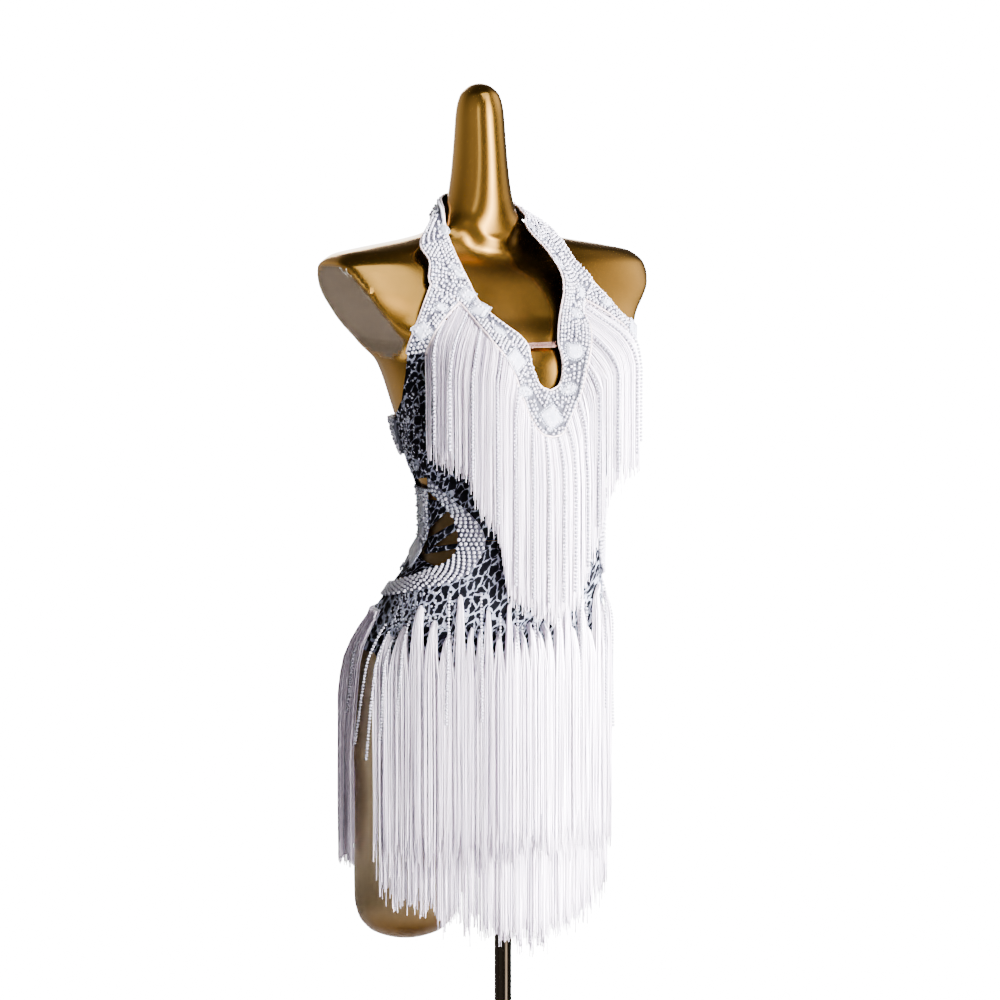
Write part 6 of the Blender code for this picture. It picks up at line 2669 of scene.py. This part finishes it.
SKIRT_STRINGS = (
    PearlString(-87.0, 0.962, -98.0, 0.826), PearlString(-84.0, 0.955, -91.0, 0.812),
    PearlString(-81.0, 0.950, -84.0, 0.836), PearlString(-73.0, 0.972, -78.0, 0.849),
    PearlString(-53.0, 1.000, -54.5, 0.858), PearlString(-37.5, 1.000, -37.0, 0.858),
    PearlString(-27.0, 0.978, -27.0, 0.831), PearlString(-16.5, 0.985, -16.5, 0.819),
    PearlString(-11.0, 0.960, -10.5, 0.821), PearlString(-4.0, 0.975, 0.0, 0.857),
    PearlString(13.0, 0.985, 12.0, 0.836), PearlString(19.0, 0.975, 20.0, 0.824),
    PearlString(31.0, 0.985, 30.0, 0.852), PearlString(38.0, 0.978, 39.0, 0.828),
    PearlString(53.0, 1.000, 54.5, 0.858), PearlString(64.0, 0.952, 65.0, 0.832),
    PearlString(74.0, 0.985, 78.0, 0.849), PearlString(86.5, 0.940, 84.5, 0.822),
    PearlString(101.0, 0.958, 107.0, 0.858), PearlString(134.0, 0.958, 135.0, 0.830),
    PearlString(147.0, 0.958, 147.0, 0.856), PearlString(160.0, 0.956, 159.0, 0.826),
    PearlString(173.0, 0.956, 174.0, 0.850), PearlString(187.0, 0.956, 187.0, 0.836),
    PearlString(200.0, 0.956, 201.0, 0.856), PearlString(213.0, 0.958, 213.0, 0.828),
    PearlString(226.0, 0.958, 225.0, 0.850), PearlString(259.0, 0.958, 253.0, 0.858),
)


@dataclass
class SkirtFringe:
    """Front and back fringes of the skirt."""

    room: Workroom
    front_settle: float = 0.905   # strands hang free from here down in front,
    back_settle: float = 0.800    # and from here behind
    levels: int = 14
    columns: int = 200
    crowd: float = 0.35
    root_drop: float = 0.0015
    root_ragged: float = 0.0012
    root_step: float = 0.0007
    loose: float = 0.45           # how far a strand may stray from its place, in pitches
    spread: float = 0.6           # and from where it hangs, in degrees
    string_lift: float = 0.0160
    back_string_lift: float = 0.0108
    string_root: float = CLEAR + CLOTH + 0.0018
    string_rise: float = 0.035
    pearl: float = 0.0034
    pearl_pitch: float = 0.0038
    forward: float = 10.0
    forward_span: float = 22.0

    def build(self) -> list[bpy.types.Object]:
        """Every stretch with its heading and strands, and the strings of pearls.

        Returns:
            The pieces.
        """
        pieces = []
        for part in SKIRT:
            fringe = Fringe(self.room, part.tassel, part.lift)
            if part.roots:
                line = np.linspace(part.start, part.end, self.columns)
                line = line + self._reach_forward(part, line)
                pieces.append(sew_heading(self.room, f"skirt_{part.name}_heading",
                                          self._point(part, line, -STRIP_DROP),
                                          self._point(part, line, 0.0)))
            paths = [self._strands(part, fringe, layer) for layer in range(part.tassel.layers)]
            pieces.append(fringe.piece(f"skirt_{part.name}_strands", np.concatenate(paths),
                                       f"fringe_skirt_{part.name}"))
        pieces.append(self._strings())
        return pieces

    def _point(self, part: SkirtPart, bearing: Array, drop: float,
               lift: float = HIP_STRIP_LIFT) -> Array:
        """Points on a heading.

        Args:
            part: its stretch.
            bearing: their bearings.
            drop: their height over its top edge.
            lift: their distance off the form, measured level.

        Returns:
            A point for each bearing.
        """
        figure = self.room.figure
        height = edge_height(part.roots, np.abs(turned(bearing))) + drop
        return figure.around(bearing, height, figure.reach(bearing, height) + lift)

    def _bundled(self, bearing: Array, layer: int) -> tuple[Array, Array]:
        """Where strands are sewn on, drawn together into narrow bundles.

        Args:
            bearing: where each strand hangs free.
            layer: its layer, from the cloth outward.

        Returns:
            Bearings at the top, and points there.
        """
        rows = np.array(BUNDLES)
        near = np.argmin(np.abs(bearing[:, None] - rows[None, :, 0]), axis=1)
        middle, top = rows[near, 0], rows[near, 1]
        root = middle + (bearing - middle) * BUNDLE_SHARE
        height = top - np.abs(root - middle) * BUNDLE_SLOPE
        height = height - np.abs(self.room.chance.normal(0.0, self.root_ragged, len(bearing)))
        figure = self.room.figure
        lift = CLEAR + CLOTH + self.root_step * (layer + 1)
        return root, figure.around(root, height, figure.reach(root, height) + lift)

    def _reach_forward(self, part: SkirtPart, bearing: Array) -> Array:
        """How far ahead of where they hang the back fringe's first strands are sewn on.

        Args:
            part: the stretch.
            bearing: where the strands hang.

        Returns:
            An angle for each.
        """
        if part.start < 0:
            return np.zeros(len(bearing))
        first = np.clip(1.0 - (bearing - part.start) / self.forward_span, 0.0, 1.0)
        last = np.clip(1.0 - (part.end - bearing) / self.forward_span, 0.0, 1.0)
        return self.forward * (last - first)

    def _strands(self, part: SkirtPart, fringe: Fringe, layer: int) -> Array:
        """One layer of strands.

        Args:
            part: their stretch.
            fringe: how they fall.
            layer: which layer it is, from the cloth outward.

        Returns:
            Their paths.
        """
        tassel, chance, front = part.tassel, self.room.chance, part.start < 0
        bearing = np.arange(part.start, part.end, tassel.pitch)
        count = len(bearing)
        bearing = bearing + chance.uniform(-self.loose, self.loose, count) * tassel.pitch
        if part.roots:
            root = bearing + self._reach_forward(part, bearing)
            starts = self._point(part, root, -self.root_drop, fringe.lift(layer))
        else:
            root, starts = self._bundled(bearing, layer)
        tips = edge_height(part.hem, turned(bearing) if front else np.abs(turned(bearing)))
        clump = np.round(bearing / tassel.clump)
        tips = tips + 0.5 * tassel.ragged * np.sin(clump * 2.4)
        tips = tips + chance.normal(0.0, tassel.ragged * 0.6, count)
        free = np.clip(bearing + chance.normal(0.0, self.spread, count), part.start, part.end)
        return fringe.strands(starts, root, free, tips, layer,
                              self.front_settle if front else self.back_settle, self.levels,
                              self.crowd, part.even)

    def _strings(self) -> bpy.types.Object:
        """Strings of pearls that lie on the strands.

        Returns:
            The strings, as one piece.
        """
        rows = np.array([(s.bearing, s.height, s.foot_bearing, s.foot_height)
                         for s in SKIRT_STRINGS])
        start, top, foot, low = (rows[:, k:k + 1] for k in range(4))
        figure = self.room.figure
        part = np.linspace(0.0, 1.0, 15)[None, :]
        heights = top + (low - top) * part
        bearing = start + (foot - start) * part**1.3
        rise = np.clip((top - heights) / self.string_rise, 0.0, 1.0)**0.6
        high = np.where(start > SIDE_SEAM, self.back_string_lift, self.string_lift)
        lift = self.string_root * (1.0 - rise) + high * rise
        distance = np.maximum.accumulate(figure.reach(bearing, heights) + lift, axis=1)
        return string_pearls(self.room, "skirt_pearl_strings",
                             figure.around(bearing, heights, distance), self.pearl,
                             self.pearl_pitch)


# ---------------------------------------------------------------- studio
@dataclass(frozen=True)
class Lamp:
    """One soft light: where it stands, its size, power and colour."""

    name: str
    place: tuple[float, float, float]
    aim: tuple[float, float, float]
    size: tuple[float, float]
    power: float
    colour: tuple[float, float, float] = (1.0, 1.0, 1.0)


LAMPS = (
    Lamp("neck_strip", (0.60, -2.95, 1.75), (0.0, 0.0, 1.30), (0.30, 1.1), 16.0,
         (1.0, 0.93, 0.82)),
    Lamp("left_softbox", (-2.2, -2.3, 2.3), (0.0, 0.0, 1.15), (0.6, 1.2), 3.0),
    Lamp("top_softbox", (0.2, -1.1, 3.0), (0.0, 0.0, 1.2), (1.2, 1.0), 7.0),
    Lamp("back_softbox", (1.2, 2.6, 2.1), (0.0, 0.0, 1.0), (1.6, 1.4), 40.0),
)


@dataclass(frozen=True)
class Glow:
    """Soft patch of the room's light: where it is, how wide and how strong.

    Its azimuth and elevation are in degrees, narrow is the cosine of its half width, and tall
    is how much it is stretched upright.
    """

    azimuth: float
    elevation: float
    narrow: float
    strength: float
    tall: float = 1.0


LIT = (Glow(35.0, -2.0, 0.52, 114.0), Glow(142.0, 22.0, 0.52, 14.0))
MIRRORED = (Glow(13.0, 0.0, 0.935, 10.5, 0.30), Glow(-66.0, 4.0, 0.45, 0.30, 0.6),
            Glow(-165.0, 0.0, 0.20, 0.42), Glow(76.0, 28.0, 0.80, 1.6))
FLOOR_GREY = (0.28, 0.28, 0.285, 1.0)
DAYLIGHT = (0.97, 0.97, 1.0, 1.0)
WHITE, BACKDROP = (1.0, 1.0, 1.0, 1.0), 18.0
ROOM_ENDS = ((0.30, 0.28, 0.26, 1.0), (0.42, 0.38, 0.33, 1.0))    # below and above
ROOM_TONES = ((0.42, (1.0, 0.95, 0.88, 1.0)), (0.62, (1.0, 0.93, 0.84, 1.0)))


def direction(azimuth: float, elevation: float) -> Vector:
    """Direction from angles in degrees, with azimuth 0 in front.

    Args:
        azimuth: angle about the upright axis, positive toward +X.
        elevation: angle above the level.

    Returns:
        The direction, one long.
    """
    a, e = math.radians(azimuth), math.radians(elevation)
    return Vector((math.sin(a) * math.cos(e), -math.cos(a) * math.cos(e), math.sin(e)))


def look_along(item: bpy.types.Object, way: Vector) -> None:
    """Turn a camera or a light.

    Args:
        item: the camera or the light.
        way: where it looks.
    """
    item.rotation_mode = "QUATERNION"
    item.rotation_quaternion = way.to_track_quat("-Z", "Y")


@dataclass
class Studio:
    """Camera, floor, sky and lights."""

    azimuth: float = -33.0
    elevation: float = 5.9
    distance: float = 3.52
    aim_height: float = 1.09
    lens: float = 115.19
    film: float = 36.0
    floor_radius: float = 1.4
    floor_height: float = -0.0005
    floor_roughness: float = 0.75
    lit_low: float = 0.12
    mirrored_low: float = 0.075

    def build(self) -> None:
        """Set up everything that isn't part of the object."""
        self._camera()
        self._floor()
        self._sky()
        for lamp in LAMPS:
            self._lamp(lamp)

    def _camera(self) -> None:
        """Camera at the wearer's right front, a little above the waist."""
        data = bpy.data.cameras.new("camera")
        data.lens, data.sensor_width = self.lens, self.film
        item = linked("camera", data)
        back = direction(self.azimuth, self.elevation)
        item.location = Vector((0.0, 0.0, self.aim_height)) + back * self.distance
        look_along(item, -back)
        bpy.context.scene.camera = item

    def _floor(self) -> None:
        """Round pale floor."""
        item = primitive(bpy.ops.mesh.primitive_circle_add, vertices=96,
                         radius=self.floor_radius, fill_type="NGON",
                         location=(0.0, 0.0, self.floor_height))
        item.name = "studio_floor"
        look = bpy.data.materials.new("studio_floor")
        look.use_nodes = True
        shader = look.node_tree.nodes["Principled BSDF"]
        shader.inputs["Base Color"].default_value = FLOOR_GREY
        shader.inputs["Roughness"].default_value = self.floor_roughness
        item.data.materials.append(look)

    @staticmethod
    def _glow(nodes: Nodes, place: bpy.types.NodeSocket, low: float,
              glows: Sequence[Glow]) -> bpy.types.NodeSocket:
        """Strength of the room's light by direction.

        Args:
            nodes: the sky's nodes.
            place: the direction.
            low: the level where no patch is.
            glows: the soft patches.

        Returns:
            The strength.
        """
        level = low
        for glow in glows:
            flat = nodes.vector("MULTIPLY", place, (1.0, 1.0, glow.tall))
            way = nodes.add("ShaderNodeVectorMath", {0: flat}, operation="NORMALIZE")
            facing = nodes.add("ShaderNodeVectorMath",
                               {0: way.outputs[0], 1: direction(glow.azimuth, glow.elevation)},
                               operation="DOT_PRODUCT")
            near = nodes.math("POWER", nodes.ramp(facing.outputs["Value"], glow.narrow, 1.0), 2.0)
            level = nodes.math("ADD", level, nodes.math("MULTIPLY", near, glow.strength))
        return level

    def _sky(self) -> None:
        """White behind the object, an even light from the front, a dim room in gloss."""
        world = bpy.data.worlds.new("studio")
        world.cycles.sampling_method = "NONE"
        world.use_nodes = True
        bpy.context.scene.world = world
        nodes, links = Nodes(world.node_tree), world.node_tree.links
        place = nodes.add("ShaderNodeTexCoord").outputs["Generated"]
        even = world.node_tree.nodes["Background"]
        even.inputs["Color"].default_value = DAYLIGHT
        links.new(self._glow(nodes, place, self.lit_low, LIT), even.inputs["Strength"])
        tone = nodes.add("ShaderNodeValToRGB", {0: nodes.ramp(nodes.level(place), -0.9, 0.9)})
        for element, colour in zip(tone.color_ramp.elements, ROOM_ENDS):
            element.color = colour
        for position, colour in ROOM_TONES:
            tone.color_ramp.elements.new(position).color = colour
        dim = nodes.add("ShaderNodeBackground", {
            "Color": tone.outputs[0],
            "Strength": self._glow(nodes, place, self.mirrored_low, MIRRORED)})
        white = nodes.add("ShaderNodeBackground", {"Color": WHITE, "Strength": BACKDROP})
        rays = nodes.add("ShaderNodeLightPath")
        shown = even
        for ray, other in (("Is Glossy Ray", dim), ("Is Camera Ray", white)):
            shown = nodes.add("ShaderNodeMixShader", {0: rays.outputs[ray], 1: shown.outputs[0],
                                                      2: other.outputs[0]})
        out = world.node_tree.nodes["World Output"]
        links.new(shown.outputs[0], out.inputs["Surface"])

    @staticmethod
    def _lamp(lamp: Lamp) -> None:
        """One rectangular soft light.

        Args:
            lamp: the light.
        """
        data = bpy.data.lights.new(lamp.name, "AREA")
        data.shape, data.size, data.size_y = "RECTANGLE", *lamp.size
        data.energy, data.color = lamp.power, lamp.colour
        item = linked(lamp.name, data)
        item.location = lamp.place
        look_along(item, Vector(lamp.aim) - Vector(lamp.place))


def main() -> None:
    """Build the form, the stand and the dress, then the studio."""
    logging.basicConfig(level=logging.INFO, format="%(message)s")
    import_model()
    room = Workroom(Figure())
    halter = Halter(room)
    assemblies = (DressForm(room), Stand(room), PrintedCloth(room), WaistTrims(room), halter,
                  KeyholeBar(room), ChestFringe(room, halter), SkirtFringe(room))
    for assembly in assemblies:
        pieces = assembly.build()
        LOG.info("%s: %d pieces", type(assembly).__name__, len(pieces))
    Studio().build()
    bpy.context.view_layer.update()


if __name__ == "__main__":
    main()
